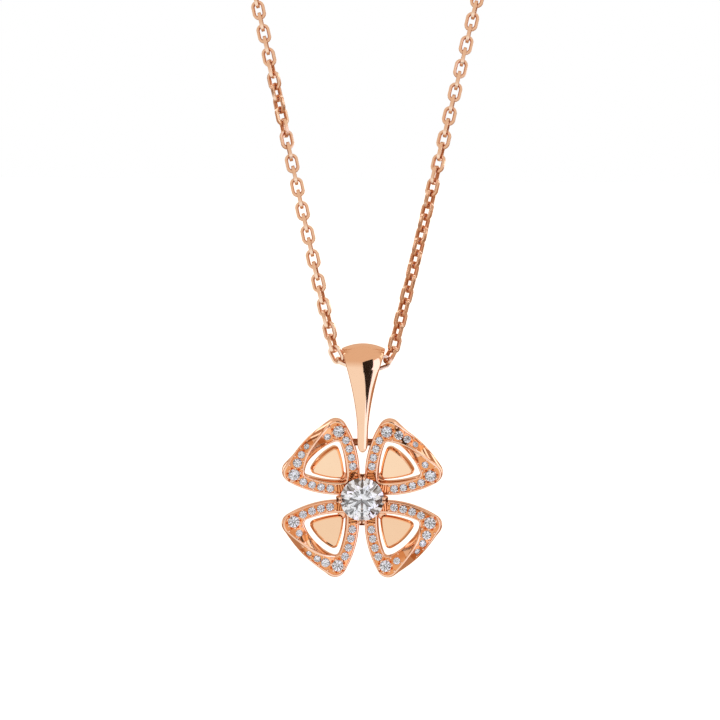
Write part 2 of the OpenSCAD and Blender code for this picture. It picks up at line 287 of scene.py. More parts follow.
def stage_sheet(name, corners, colour, roughness, glow, unseen):
    """Flat sheet of one colour, which may glow by itself and which some kinds of ray don't see."""
    material, tree, shader = new_material(name)
    look = {"Base Color": colour, "Roughness": roughness, "Emission Color": glow, "Emission Strength": 1}
    tree.wire(shader, look)
    mesh = bpy.data.meshes.new(name)
    mesh.from_pydata(corners, [], [tuple(range(len(corners)))])
    mesh.materials.append(material)
    sheet = add_object(name, mesh)
    for ray in unseen:
        setattr(sheet, f"visible_{ray}", False)
    sheet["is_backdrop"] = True


floor_z = cad_low.z - FLOOR_DROP
floor_corners = [(x * FLOOR_HALF, y * FLOOR_HALF, floor_z) for x, y in ((-1, 1), (-1, -1), (1, -1), (1, 1))]
stage_sheet(
    "floor", floor_corners, (0.9, 0.9, 0.9), roughness=0.8, glow=FLOOR_GLOW,
    unseen=["glossy", "transmission"],
)
for name, (corners, distance, colour) in CARDS.items():
    places = [studio_place(a, e, distance) for a, e in corners]
    stage_sheet(name, places, (0, 0, 0), roughness=1.0, glow=colour, unseen=["camera"])
flag_at = CHAIN_IN_BAIL - Vector((0, FLAG_DISTANCE, FLOWER_DROP)) * MM
flag_corners = [flag_at + Vector((x, 0, z)) * MM for x, z in FLAG_OUTLINE]
stage_sheet(
    "black_flag", flag_corners, BLACK, roughness=0.9, glow=(0, 0, 0),
    unseen=["camera", "shadow", "diffuse"],
)
for name, (azimuth, elevation, width, height, radiance) in SOFT_BOXES.items():
    box_light = bpy.data.lights.new(name, "AREA")
    box_light.shape = "RECTANGLE"
    box_light.size = width
    box_light.size_y = height
    box_light.energy = radiance * width * height * math.pi
    lamp = add_object(name, box_light)
    lamp.matrix_world = look_from(studio_place(azimuth, elevation, SOFT_BOX_DISTANCE), STUDIO_MIDDLE)
    lamp.visible_camera = False
bpy.context.scene.view_settings.view_transform = "Standard"
print("studio has", len(CARDS), "cards and", len(SOFT_BOXES), "soft boxes")

# %% [markdown]
# ## Finishes
# Rose gold is gold with copper, and its polish is never perfect: a buffing wheel leaves faint
# hairlines and soft clouds of gloss. That effect is on every gold surface, so it is one shader
# group with its own inputs, placed in each gold with other values. The group could also have been
# an image texture, but noise on the object's own coordinates has no seams and no files.

# %% Shader group: the marks of hand polishing
HAIRLINE_STRETCH = (1, 1, 0.08)
HAIRLINE_DEPTH = 0.002 * MM


def hand_polish_group():
    """Roughness, tone and height of a hand-polished surface."""
    first_values = {
        "Cloud size": 900.0,
        "Hairline size": 14000.0,
        "Gloss low": 0.06,
        "Gloss high": 0.12,
        "Tone": (0.93, 0.56, 0.36, 1),
        "Deep tone": (0.88, 0.48, 0.28, 1),
    }
    results = {"Roughness": "Float", "Colour": "Color", "Height": "Float"}
    marks = Tree(bpy.data.node_groups.new("hand polish", "ShaderNodeTree"), first_values, results)
    place = marks.add("ShaderNodeTexCoord", out="Object")
    stretched = marks.add("ShaderNodeMapping", {"Vector": place, "Scale": HAIRLINE_STRETCH})

    def noise(where, size):
        return marks.add("ShaderNodeTexNoise", {"Vector": where, "Scale": marks.given(size)}, "Fac")

    clouds = noise(place, "Cloud size")
    gloss = {"Value": clouds, "To Min": marks.given("Gloss low"), "To Max": marks.given("Gloss high")}
    marks.wire(marks.end, {
        "Roughness": marks.add("ShaderNodeMapRange", gloss, "Result"),
        "Colour": marks.mix(clouds, marks.given("Tone"), marks.given("Deep tone")),
        "Height": noise(stretched, "Hairline size"),
    })
    return marks.tree


HAND_POLISH = hand_polish_group()
print("sockets of the polish group:", len(HAND_POLISH.interface.items_tree))

# %% [markdown]
# Each part of a real necklace has its own polish: mirror plates, a bright bail, a softer chain.
# Metal that lies in shade, such as the beds of the stones and the insides of the links, gets a
# deeper tone of painted shade, which copies light that gold throws from wall to wall and that grows redder
# each time.

# %% Gold materials


def gold(name, tone, deep_tone, gloss, hairlines):
    """Gold: tone and deep tone are its colours, gloss the range of its roughness."""
    material, tree, shader = new_material(name)
    values = {"Tone": tone, "Deep tone": deep_tone, "Gloss low": gloss[0], "Gloss high": gloss[1]}
    marks = tree.add("ShaderNodeGroup", values, None, node_tree=HAND_POLISH).outputs
    bump = {"Strength": hairlines, "Distance": HAIRLINE_DEPTH, "Height": marks["Height"]}
    tree.wire(shader, {
        "Metallic": 1.0,
        "Base Color": marks["Colour"],
        "Roughness": marks["Roughness"],
        "Normal": tree.add("ShaderNodeBump", bump),
    })
    return material


POLISHED = gold("polished_rose_gold", (0.97, 0.69, 0.51), (0.94, 0.6, 0.41), (0.05, 0.1), 0.12)
# Painted shade: the deep orange tone of the stones' bed stands in for its shade; its roughness and hairlines
# are the bright-cut finish.
BRIGHT_CUT_SHADE_GOLD = gold("bright_cut_rose_gold", (0.88, 0.43, 0.19), (0.78, 0.3, 0.11), (0.1, 0.2), 0.3)
BAIL_GOLD = gold("bail_rose_gold", (0.95, 0.66, 0.46), (0.94, 0.63, 0.43), (0.05, 0.1), 0.1)
PLATE_GOLD = gold("mirror_plate_rose_gold", (0.97, 0.72, 0.5), (0.96, 0.69, 0.47), (0.04, 0.07), 0.05)
CHAIN_GOLD = gold("chain_rose_gold", (0.96, 0.78, 0.63), (0.95, 0.7, 0.53), (0.2, 0.28), 0.2)
# Painted shade: the links' inner faces take a darker gold; only their roughness is the unpolished finish.
INSIDE_SHADE_GOLD = gold("link_inside_rose_gold", (0.7, 0.34, 0.18), (0.55, 0.22, 0.1), (0.25, 0.35), 0.3)
# Painted shade: the crossbar's dark gold stands in for the shade behind the bail's tip.
PAINTED_SHADE_GOLD = gold("unpolished_rose_gold", (0.36, 0.14, 0.07), (0.26, 0.09, 0.04), (0.25, 0.4), 0.6)
# Painted shade: a nearly black gold for the solid wedges that stand in for the shade in the claws' grooves.
GROOVE_SHADE_GOLD = gold("groove_rose_gold", (0.16, 0.045, 0.015), (0.1, 0.02, 0.008), (0.4, 0.55), 0.3)
print("golds:", len([m for m in bpy.data.materials if m.name.endswith("rose_gold")]))

# %% [markdown]
# ## Clear stones
# A diamond is clear and bends light strongly, so its brightness is the room, thrown back by its
# back facets. Each facet of a cut stone takes its own direction in the room, and so has its own
# tone. A second group paints each facet a slightly different tint from its normal, as painted shade
# per facet, which keeps the facets apart where the render has few samples.

# %% Clear stone material
DIAMOND_INDEX = 2.42
FACET_STEP = (0.05, 0.05, 0.05)


def facet_shade_group():
    """Painted shade: a tint that changes from facet to facet with the direction that the facet faces."""
    tones = {"Dark": (0.8, 0.82, 0.86, 1), "Light": (1, 1, 1, 1)}
    tint = Tree(bpy.data.node_groups.new("facet tone", "ShaderNodeTree"), tones, {"Colour": "Color"})
    facing = tint.add("ShaderNodeNewGeometry", out="True Normal")
    chance = tint.add("ShaderNodeTexWhiteNoise", {"Vector": tint.vector("SNAP", facing, FACET_STEP)}, "Value")
    tint.wire(tint.end, {"Colour": tint.mix(chance, tint.given("Dark"), tint.given("Light"))})
    return tint.tree


def clear_stone(name, dark):
    """Clear stone that bends light as diamond does."""
    material, tree, shader = new_material(name)
    # Painted shade: the stone's colour is tinted facet by facet.
    tint = tree.add("ShaderNodeGroup", {"Dark": dark}, "Colour", node_tree=FACET_SHADE)
    look = {"Roughness": 0.0, "IOR": DIAMOND_INDEX, "Transmission Weight": 1.0, "Base Color": tint}
    tree.wire(shader, look)
    return material


FACET_SHADE = facet_shade_group()
DIAMOND = clear_stone("diamond", (0.8, 0.83, 0.88))
print("clear stone bends light by an index of", DIAMOND_INDEX)

# %% [markdown]
# ## Working on pieces
# A finished piece is a plain mesh whose object sits at the origin. The bail and the flower are
# easiest to draw lying in a front frame, with x to the right, y up and z towards the viewer. One
# matrix then stands them up at their place. The petals are also cupped: each leans a few degrees
# towards the viewer.

# %% Helpers for pieces
SIDES = ["upper_right", "upper_left", "lower_left", "lower_right"]
STAND_UP = Matrix.Rotation(math.pi / 2, 4, "X")
SEWN_BELOW = 0.0001 * MM
METAL_CREASE = math.radians(35)


def piece_from(name, mesh, materials=(), smooth_below=30):
    """Object from a mesh, with edges sharper than the given angle kept crisp."""
    for material in materials:
        mesh.materials.append(material)
    mesh.polygons.foreach_set("use_smooth", [smooth_below > 0] * len(mesh.polygons))
    if smooth_below > 0:
        mesh.set_sharp_from_angle(angle=math.radians(smooth_below))
    return add_object(name, mesh)


def finish_modifiers(piece):
    """Turns a piece with modifiers into a plain mesh, and drops the modifiers."""
    bpy.context.view_layer.update()
    evaluated = piece.evaluated_get(bpy.context.evaluated_depsgraph_get())
    mesh = bpy.data.meshes.new_from_object(evaluated)
    piece.modifiers.clear()
    old = piece.data
    piece.data = mesh
    mesh.name = piece.name
    if old.users == 0:
        bpy.data.meshes.remove(old)
    return piece


def plain_mesh(name, work):
    """Mesh from a finished bmesh, which is freed."""
    mesh = bpy.data.meshes.new(name)
    work.to_mesh(mesh)
    work.free()
    return mesh


def mesh_from(name, points, faces):
    """Mesh from points and faces, sewn where points meet, with every face looking outwards."""
    mesh = bpy.data.meshes.new(name)
    mesh.from_pydata([tuple(p) for p in points], [], [tuple(f) for f in faces])
    work = bmesh.new()
    work.from_mesh(mesh)
    bmesh.ops.remove_doubles(work, verts=work.verts, dist=SEWN_BELOW)
    bmesh.ops.recalc_face_normals(work, faces=work.faces)
    work.to_mesh(mesh)
    work.free()
    return mesh


def strip_faces(rows, size, rows_meet=True, row_closed=True):
    """Faces between neighbouring rows of points. The last row may meet the first one again."""
    faces = []
    for k in range(rows if rows_meet else rows - 1):
        here, there = k * size, (k + 1) % rows * size
        for j in range(size if row_closed else size - 1):
            m = (j + 1) % size
            faces.append((here + j, here + m, there + m, there + j))
    return faces


def lathe(name, profile, steps):
    """Closed outline of (radius, height) points swept round the Z axis."""
    points = []
    for k in range(steps):
        a = 2 * math.pi * k / steps
        points += [(r * math.cos(a), r * math.sin(a), z) for r, z in profile]
    return mesh_from(name, points, strip_faces(steps, len(profile)))


def prism_mesh(outline, low, high, axis):
    """Prism of an outline in mm, from low to high along axis 0 (X) or 1 (Y)."""
    points = []
    for level in (low, high):
        for pair in outline:
            point = list(pair)
            point.insert(axis, level)
            points.append([v * MM for v in point])
    count = len(outline)
    ends = [tuple(range(count)), tuple(range(count, 2 * count))]
    faces = [(k, (k + 1) % count, (k + 1) % count + count, k + count) for k in range(count)]
    return mesh_from("prism", points, faces + ends)


def points_piece(name, points, joined=False, **attributes):
    """Piece of loose points, or of points joined to a line, with numbers stored on them."""
    mesh = bpy.data.meshes.new(name)
    edges = [(k, k + 1) for k in range(len(points) - 1)] if joined else []
    mesh.from_pydata([tuple(p) for p in points], edges, [])
    for label, values in attributes.items():
        is_vector = isinstance(values[0], Vector)
        stored = mesh.attributes.new(label, "FLOAT_VECTOR" if is_vector else "FLOAT", "POINT")
        stored.data.foreach_set("vector" if is_vector else "value", np.ravel(values))
    return add_object(name, mesh)


def take_in(piece, other):
    """Adds another piece's mesh and materials to this one, and removes the other piece."""
    materials = []
    work = bmesh.new()
    for part in (piece, other):
        numbers = []
        for material in part.data.materials:
            if material not in materials:
                materials.append(material)
            numbers.append(materials.index(material))
        before = len(work.faces)
        work.from_mesh(part.data)
        work.faces.ensure_lookup_table()
        for face in work.faces[before:]:
            face.material_index = numbers[min(face.material_index, len(numbers) - 1)] if numbers else 0
    piece.data = plain_mesh(piece.name, work)
    for material in materials:
        piece.data.materials.append(material)
    bpy.data.objects.remove(other)


def hand_over(piece, body, node):
    """Last step of each piece: it rides on its body and stands for its node, whose CAD part is hidden."""
    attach(piece, body)
    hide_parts(node)
    piece.data.calc_loop_triangles()
    print(piece.name, "has", len(piece.data.loop_triangles), "triangles")


# %% Places of the flower and its petals
TABLE_TOP = 0.18
STONE_LOW, STONE_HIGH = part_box("centre_stone")
CENTRE_STONE_D = STONE_HIGH.x - STONE_LOW.x
GIRDLE_Z = 1.5 * MM
FLOWER_AT = (STONE_LOW + STONE_HIGH) / 2
FLOWER_AT.y = STONE_LOW.y + (GIRDLE_Z + TABLE_TOP * CENTRE_STONE_D)
CUP = math.radians(9)
CUP_PIVOT_R = 2
CUP_PIVOT = Vector((1, 1, 0)).normalized() * CUP_PIVOT_R * MM
flower_matrix = Matrix.Translation(FLOWER_AT) @ STAND_UP
bail_matrix = Matrix.Translation(CHAIN_IN_BAIL) @ STAND_UP


def petal_matrix(i):
    """Place of petal i: a quarter turn per petal, then the cup."""
    cup = Matrix.Rotation(CUP, 4, Vector((1, -1, 0)))
    about_pivot = Matrix.Translation(CUP_PIVOT) @ cup @ Matrix.Translation(-CUP_PIVOT)
    return flower_matrix @ Matrix.Rotation(math.pi / 2 * i, 4, "Z") @ about_pivot


print("flower's centre:", [round(v / MM, 2) for v in FLOWER_AT], "mm")

# %% [markdown]
# ## Geometry Nodes
# Links, claws, stones and grains repeat, and the petal's bar follows a rule. Geometry Nodes make
# all of these. Their trees are Trees too, with a few steps of their own: run() sets a tree's named
# inputs by their identifiers, evaluates it and keeps a plain mesh.

# %% A tree that makes shapes


class ShapeTree(Tree):
    """Geometry Nodes tree with named inputs for its sizes."""

    def __init__(self, name, **numbers):
        group = bpy.data.node_groups.new(name, "GeometryNodeTree")
        group.is_modifier = True
        super().__init__(group, {"Geometry": "Geometry", **numbers}, {"Geometry": "Geometry"})

    def scaled(self, vector, factor):
        return self.add("ShaderNodeVectorMath", {0: vector, "Scale": factor}, operation="SCALE")

    def attribute(self, name, kind="FLOAT_VECTOR"):
        return self.add("GeometryNodeInputNamedAttribute", {"Name": name}, data_type=kind)

    def store(self, geometry, name, value, kind, domain):
        """Stores a value under a name on the geometry."""
        inputs = {"Geometry": geometry, "Name": name, "Value": value}
        return self.add("GeometryNodeStoreNamedAttribute", inputs, data_type=kind, domain=domain)

    def aligned(self, axis, inputs, **settings):
        """Rotation that brings an axis onto a vector."""
        return self.add("FunctionNodeAlignRotationToVector", inputs, axis=axis, **settings)

    def spun(self, rotation, angle):
        """A rotation with a further turn about its own Z axis."""
        turn = self.add("FunctionNodeAxisAngleToRotation", {"Axis": (0.0, 0.0, 1.0), "Angle": angle})
        inputs = {"Rotation": rotation, "Rotate By": turn}
        return self.add("FunctionNodeRotateRotation", inputs, rotation_space="LOCAL")

    def shape_of(self, name):
        """Geometry of the object that a named input gives."""
        return self.add("GeometryNodeObjectInfo", {"Object": self.given(name)}, "Geometry")

    def copies(self, places, name, **how):
        """A copy of the named input's shape on each place."""
        inputs = {"Points": places, "Instance": self.shape_of(name), **how}
        return self.add("GeometryNodeInstanceOnPoints", inputs)

    def finish(self, geometry, material):
        """Last nodes of every tree: real meshes and their material."""
        real = self.add("GeometryNodeRealizeInstances", {"Geometry": geometry})
        self.coat(material, real)

    def coat(self, material, geometry, **where):
        """Material on the geometry, or only where the selection is true."""
        inputs = {"Geometry": geometry, "Material": material, **where}
        self.coated = self.add("GeometryNodeSetMaterial", inputs)
        self.wire(self.end, {"Geometry": self.coated})

    def run(self, piece, **numbers):
        """Runs the tree on a piece with the given inputs, and keeps the result as a mesh."""
        modifier = piece.modifiers.new(self.tree.name, "NODES")
        modifier.node_group = self.tree
        known = {i.name: i.identifier for i in self.tree.interface.items_tree if i.in_out == "INPUT"}
        for label, value in numbers.items():
            modifier[known[label]] = value
        return finish_modifiers(piece)


print("shape tree is ready")

# %% [markdown]
# ## The chain
# A cable chain: oval links, each a quarter turn from the last, soldered shut through each other.
# Its route is the CAD model's own list of points, round the neck and down to the bail. The tree
# cuts the route into equal steps, and each step's edge is one link: it sits at the edge's middle
# and points along it. So two neighbours always meet at the same point, also in the sharp bend at
# the bail, where links placed by the curve's tangent would cut through each other.
#
# A drawn and pressed wire isn't round. Its six-sided section is flat on the link's outside, where
# it shines, and the three sides that face the link's hole stay unpolished, with a darker colour that is
# painted shade.

# %% Route and link
CHAIN_ROUTE = [
    (3.4, -0.2, 0), (9.4, -1.3, -0.1), (15.2, -3.6, -0.4), (20.6, -7, -0.9),
    (25.3, -11.4, -1.8), (29.2, -16.6, -3.2), (32.1, -22.2, -5.2), (34.1, -27.8, -8.1),
    (35.2, -32.4, -12), (35.3, -35.8, -16.8), (34.7, -38.5, -22), (33.5, -40.9, -28),
    (31.4, -44.2, -37), (27.8, -49.6, -52), (23.4, -56, -70), (19.1, -62.5, -88),
    (14.7, -69, -106), (10.3, -75.5, -124), (7.2, -80.2, -137), (4.8, -83.8, -147),
    (3.6, -85.5, -151.8), (3.1, -86.2, -153.8), (2.8, -86.7, -154.9),
    (2.2, -86.9, -155.7), (1.2, -87, -156), (0, -87, -156),
]
LINK_LENGTH = 2.0 * MM
LINK_WIDTH = 1.34 * MM
WIRE = 0.35 * MM
LINK_PITCH = 1.26 * MM
LINK_STEPS = 16
WIRE_SECTION = [(0.5, -0.43), (0.5, 0.43), (-0.14, 0.54), (-0.42, 0.33), (-0.42, -0.33), (-0.14, -0.54)]
INSIDE_SIDES = (2, 3, 4)
LINK_CREASE = 50


def rounded_route(points, steps):
    """Points of a smooth curve through the route's points (a Catmull-Rom curve)."""
    route = [Vector(p) * MM for p in points]
    smooth = []
    for k in range(len(route) - 1):
        before = route[max(k - 1, 0)]
        a, b = route[k], route[k + 1]
        after = route[min(k + 2, len(route) - 1)]
        reach = (b - a).length
        out = (b - before).normalized() * reach
        into = (after - a).normalized() * reach
        for i in range(steps):
            t = i / steps
            smooth.append(
                a * (2 * t**3 - 3 * t**2 + 1) + out * (t**3 - 2 * t**2 + t)
                + b * (3 * t**2 - 2 * t**3) + into * (t**3 - t**2)
            )
    return smooth + [route[-1]]


def link_mesh():
    """One oval link along Z, with its inner faces marked."""
    half_straight = (LINK_LENGTH - LINK_WIDTH) / 2
    radius = (LINK_WIDTH - WIRE) / 2
    points = []
    for k in range(LINK_STEPS):
        a = 2 * math.pi * (k + 0.5) / LINK_STEPS
        direction = Vector((math.cos(a), 0, math.sin(a)))
        middle = direction * radius + Vector((0, 0, math.copysign(half_straight, math.sin(a))))
        for out, side in WIRE_SECTION:
            points.append(middle + direction * out * WIRE + Vector((0, side * WIRE, 0)))
    size = len(WIRE_SECTION)
    mesh = mesh_from("cable_link", points, strip_faces(LINK_STEPS, size))
    inside = mesh.attributes.new("inside", "FLOAT", "FACE")
    marks = [float(k % size in INSIDE_SIDES) for k in range(len(mesh.polygons))]
    inside.data.foreach_set("value", marks)
    return mesh


link = piece_from("cable_link", link_mesh(), smooth_below=LINK_CREASE)
print("one link has", len(link.data.polygons), "faces")

# %% Geometry Nodes: links along the route


def chain_tree():
    """Route cut into equal steps, with a link on each step's edge: a quarter turn and a twist."""
    chain = ShapeTree("links on a route", Links=100, Link="Object")
    route = chain.add("GeometryNodeMeshToCurve", {"Mesh": chain.given("Geometry")})
    count = chain.math("ADD", chain.given("Links"), 1.0)
    steps = chain.add("GeometryNodeResampleCurve", {"Curve": route, "Count": count})
    edges = chain.add("GeometryNodeCurveToMesh", {"Curve": steps})
    ends = chain.add("GeometryNodeInputMeshEdgeVertices", out=None).outputs
    along = chain.vector("SUBTRACT", ends["Position 2"], ends["Position 1"])
    marked = chain.store(edges, "along", along, "FLOAT_VECTOR", "EDGE")
    places = chain.add("GeometryNodeMeshToPoints", {"Mesh": marked}, mode="EDGES")
    quarter = chain.math("MULTIPLY", chain.add("GeometryNodeInputIndex"), math.pi / 2)
    turn = chain.math("ADD", quarter, chain.attribute("twist", "FLOAT"))
    upright = chain.aligned("Z", {"Vector": chain.attribute("along")})
    facing = chain.aligned("Y", {"Rotation": upright, "Vector": (0.0, 1.0, 0.0)}, pivot_axis="Z")
    chain.finish(chain.copies(places, "Link", Rotation=chain.spun(facing, turn)), CHAIN_GOLD)
    # Painted shade: the faces that look into the link's hole take the darker gold.
    inside = chain.math("GREATER_THAN", chain.attribute("inside", "FLOAT"), 0.5)
    chain.coat(INSIDE_SHADE_GOLD, chain.coated, Selection=inside)
    return chain


LINKS_ON_ROUTE = chain_tree()
print("chain tree has", len(LINKS_ON_ROUTE.tree.nodes), "nodes")

# %% [markdown]
# The two halves meet inside the bail, where the last link of one half has to lie a quarter turn
# from the last link of the other. So the left half has one link more. A hanging chain also turns
# slowly along its length, so the links show their faces in one place and their sides in another.
# That twist is given in degrees at a few distances from the bail, and is none at the clasp.
#
# A round end ring joins each half to the clasp ring: it is turned like a curtain ring round the
# clasp's wire, and the first link passes through it.

# %% Both halves of the chain, with their end rings
ROUTE_STEPS = 8
FIRST_LINK_X = 4.18 * MM
START_GAP = 0.1 * MM
BELOW_START = -1 * MM
END_RING_X = 2.75 * MM
END_RING_R = 1.0 * MM
END_RING_WIRE = 0.2 * MM
TWIST_LEFT = [
    (0.6, 0), (3, -25), (7, -25), (10, -12), (13, -3), (20, 0), (25, 5), (27.5, 35), (30, 50),
    (32, 65), (34.5, 85), (37, 90), (90, 0), (200, 0),
]
TWIST_RIGHT = [
    (0.6, 0), (3.5, -32), (10, -35), (13, -42), (18, -46), (20, -52), (22, -64), (25, -73),
    (29, -82), (34, -90), (90, 0), (200, 0),
]


def ring_mesh(name, radius, wire, around, across):
    """Round wire ring about the Z axis."""
    turns = [2 * math.pi * k / across for k in range(across)]
    return lathe(name, [(radius + wire * math.cos(a), wire * math.sin(a)) for a in turns], around)


def twist_along(points, places):
    """Twist at each point of a half, from (mm from the bail, degrees) places."""
    steps = [0.0] + [(b - a).length / MM for a, b in zip(points, points[1:])]
    from_clasp = np.cumsum(steps)
    distances, turns = zip(*places)
    return np.radians(np.interp(from_clasp[-1] - from_clasp, distances, turns))


def cable_chain(side, mirror, extra, places):
    """One half of the chain, from its end ring at the clasp to the middle of the bail."""
    points = rounded_route(CHAIN_ROUTE, ROUTE_STEPS)
    backwards = (points[0] - points[1]).normalized()
    start = points[0] + backwards * (points[0].x - FIRST_LINK_X + LINK_PITCH / 2)
    points = [start] + [p for p in points if p.x > start.x + START_GAP or p.z < BELOW_START]
    length = sum((b - a).length for a, b in zip(points, points[1:]))
    count = round(length / LINK_PITCH) + extra
    half = points_piece(f"cable_links_{side}", points, joined=True, twist=twist_along(points, places))
    LINKS_ON_ROUTE.run(half, Links=count, Link=link)
    ring = ring_mesh("end_ring", END_RING_R, END_RING_WIRE, around=32, across=10)
    ring.transform(Matrix.Translation((END_RING_X, 0, 0)))
    take_in(half, piece_from("end_ring", ring, [CHAIN_GOLD]))
    if mirror:
        half.data.transform(Matrix.Scale(-1, 4, (1, 0, 0)))
        half.data.flip_normals()
    half.data.set_sharp_from_angle(angle=math.radians(LINK_CREASE))
    print(side, "half is", round(length / MM, 1), "mm long, with", count, "links")
    hand_over(half, "necklace", f"chain_{side}")


cable_chain("right", mirror=False, extra=0, places=TWIST_RIGHT)
cable_chain("left", mirror=True, extra=1, places=TWIST_LEFT)
bpy.data.objects.remove(link)

# %% [markdown]
# ## The clasp
# It is hidden in the photo, so it stays one plain ring, made of a wire three times as thick as the
# links'. A lathe makes it: a small circle swept round an axis, as a smith bends wire on a mandrel.

# %% Ring clasp
CLASP_RING_R = 2.5 * MM
CLASP_WIRE_R = 0.55 * MM
clasp_mesh = ring_mesh("ring_clasp", CLASP_RING_R, CLASP_WIRE_R, around=64, across=20)
clasp_mesh.transform(STAND_UP)
hand_over(piece_from("ring_clasp", clasp_mesh, [CHAIN_GOLD]), "necklace", "clasp")

# %% [markdown]
# ## The bail
# The bail is one sheet of gold that folds over the chain like a ribbon and tapers to a blunt round
# tip. Its face is crowned, more so towards the tip, which makes its reflections run to a point.
# Its surface is drawn along the fold: up the front, over the drum round the chain, and down the
# back. At every place along the fold a row of points goes across, with a small rounding at both
# edges, because a polisher never leaves an edge sharp. The sides are then closed with rungs from
# front to back. A drop-shaped hollow and the crossbar's bore are cut last.

# %% The bail's measures
TIP_HALF = 0.52
TIP_LENGTH = 0.95
TIP_BLUNTNESS = 0.12
TOP_HALF = 2.15
FLARE_FROM = -6.7
FLARE_SPAN = 8.4
FLARE_POWER = 1.65
DRUM_R = 2.15
CROWN = 0.5
CROWN_GROWTH = 5
BAIL_DROP = 8.65
LEG_FRONT = 0.72
LEG_BACK = 0.8
FRONT_TAPER = 1.3
BACK_JOIN = 3.8
EDGE_ROUNDING = 0.13
ROUNDING_OF_HALF = 0.45
ROUNDING_OF_DEPTH = 0.4


def flare(y):
    """Share of the bail's widening at height y."""
    return max(0.0, min(1.0, (y - FLARE_FROM) / FLARE_SPAN)) ** FLARE_POWER


def tip_share(y):
    """Round end of the tip: 0 at its point and 1 above it."""
    return math.sqrt(max(0.0, 1 - max(0.0, 1 - (y + BAIL_DROP) / TIP_LENGTH) ** 2))


def tip_depth(y):
    """The tip stays thick nearly to its end."""
    return tip_share(y) ** TIP_BLUNTNESS


def bail_half(y):
    return tip_share(y) * (TIP_HALF + (TOP_HALF - TIP_HALF) * flare(y))


def crown_at(x, down):
    return CROWN * (1 + CROWN_GROWTH * down) * (x / TOP_HALF) ** 2


def crown_slope(x, down):
    return 2 * CROWN * (1 + CROWN_GROWTH * down) * x / TOP_HALF**2


def leg_front_z(x, y):
    down = -y / BAIL_DROP
    return tip_depth(y) * (DRUM_R - (DRUM_R - LEG_FRONT) * down**FRONT_TAPER - crown_at(x, down))


def leg_back_z(x, y):
    down = min(1.0, -y / BACK_JOIN)
    swell = (DRUM_R - LEG_BACK) * (1 + math.cos(math.pi * down)) / 2
    return -tip_depth(y) * (LEG_BACK + swell - crown_at(x, 0))


# %% The bail's surface along its fold
BAIL_ACROSS = 16
EDGE_STEPS = 4
TIP_STEPS = 10
LEG_STEPS = 36
LEG_LEVELS = [
    -BAIL_DROP + TIP_LENGTH * (1 - math.cos(math.pi / 2 * k / TIP_STEPS)) for k in range(TIP_STEPS)
]
LEG_LEVELS += [(TIP_LENGTH - BAIL_DROP) * (1 - k / LEG_STEPS) for k in range(LEG_STEPS)]
DRUM_STEPS = 36
DRUM_THICKNESS = 1.0
WIDTH_ROUNDS = 6
FORWARDS = Vector((0, 0, 1))


def fold_row(place, half, slope, outward, thickness):
    """Points across the bail: place(x) is its surface, outward its direction away from the core."""
    rounding = min(EDGE_ROUNDING, ROUNDING_OF_HALF * half, ROUNDING_OF_DEPTH * thickness)
    tilt = math.atan(slope(half))
    reach = half - rounding * (1 - math.sin(tilt))
    row = [place(reach * (2 * k / BAIL_ACROSS - 1)) for k in range(BAIL_ACROSS + 1)]
    edge = []
    for k in range(1, EDGE_STEPS + 1):
        a = tilt + (math.pi / 2 - tilt) * k / EDGE_STEPS
        out = rounding * (math.sin(a) - math.sin(tilt))
        down = rounding * (math.cos(tilt) - math.cos(a))
        edge.append((out, down))
    right = [row[-1] + Vector((out, 0, 0)) - outward * down for out, down in edge]
    left = [row[0] - Vector((out, 0, 0)) - outward * down for out, down in reversed(edge)]
    return left + row + right


def leg_row(y, surface_z, down, outward):
    """Row across the front or the back leg at height y."""
    half = bail_half(y)
    return fold_row(
        lambda x: Vector((x, y, surface_z(x, y))),
        half,
        lambda x: crown_slope(x, down) * tip_depth(y),
        outward,
        leg_front_z(half, y) - leg_back_z(half, y),
    )


def drum_row(a):
    """Row across the drum, at an angle from its front. Its width is found in a few rounds."""
    outward = Vector((0, math.sin(a), math.cos(a)))
    half = bail_half(0)
    for _ in range(WIDTH_ROUNDS):
        half = bail_half((DRUM_R - crown_at(half, 0)) * math.sin(a))
    return fold_row(
        lambda x: Vector((x, 0, 0)) + outward * (DRUM_R - crown_at(x, 0)),
        half,
        lambda x: crown_slope(x, 0),
        outward,
        DRUM_THICKNESS,
    )


def bail_mesh():
    """The bail's closed surface: the fold, and rungs from front to back along both sides."""
    rows = [leg_row(y, leg_front_z, -y / BAIL_DROP, FORWARDS) for y in LEG_LEVELS]
    rows += [drum_row(math.pi * k / DRUM_STEPS) for k in range(DRUM_STEPS + 1)]
    rows += [leg_row(y, leg_back_z, 0, -FORWARDS) for y in reversed(LEG_LEVELS)]
    size = len(rows[0])
    faces = strip_faces(len(rows), size, rows_meet=False, row_closed=False)
    last = len(rows) - 1
    for j in range(last // 2):
        for side in (0, size - 1):
            corners = [j, j + 1, last - j - 1, last - j]
            faces.append([c * size + side for c in dict.fromkeys(corners)])
    return mesh_from("folded_bail", [p * MM for row in rows for p in row], faces)


bail = piece_from("folded_bail", bail_mesh(), [BAIL_GOLD])
print("bail surface has", len(bail.data.polygons), "faces")

# %% Hollow for the chain and bore for the crossbar
HOLLOW_R = 1.05
HOLLOW_LOW = 3.0
HOLLOW_STEPS = 40
BORE_R = 0.4
BORE_STEPS = 24
CUT_HALF_LENGTH = 3.2


def drop_outline():
    """Round bore with a pointed lower end, whose flanks touch the round."""
    touch = math.acos(HOLLOW_R / HOLLOW_LOW)
    span = 2 * (math.pi - touch)
    angles = [-math.pi / 2 + touch + span * k / HOLLOW_STEPS for k in range(HOLLOW_STEPS + 1)]
    arc = [(HOLLOW_R * math.sin(a), HOLLOW_R * math.cos(a)) for a in angles]
    return arc + [(-HOLLOW_LOW, 0)]


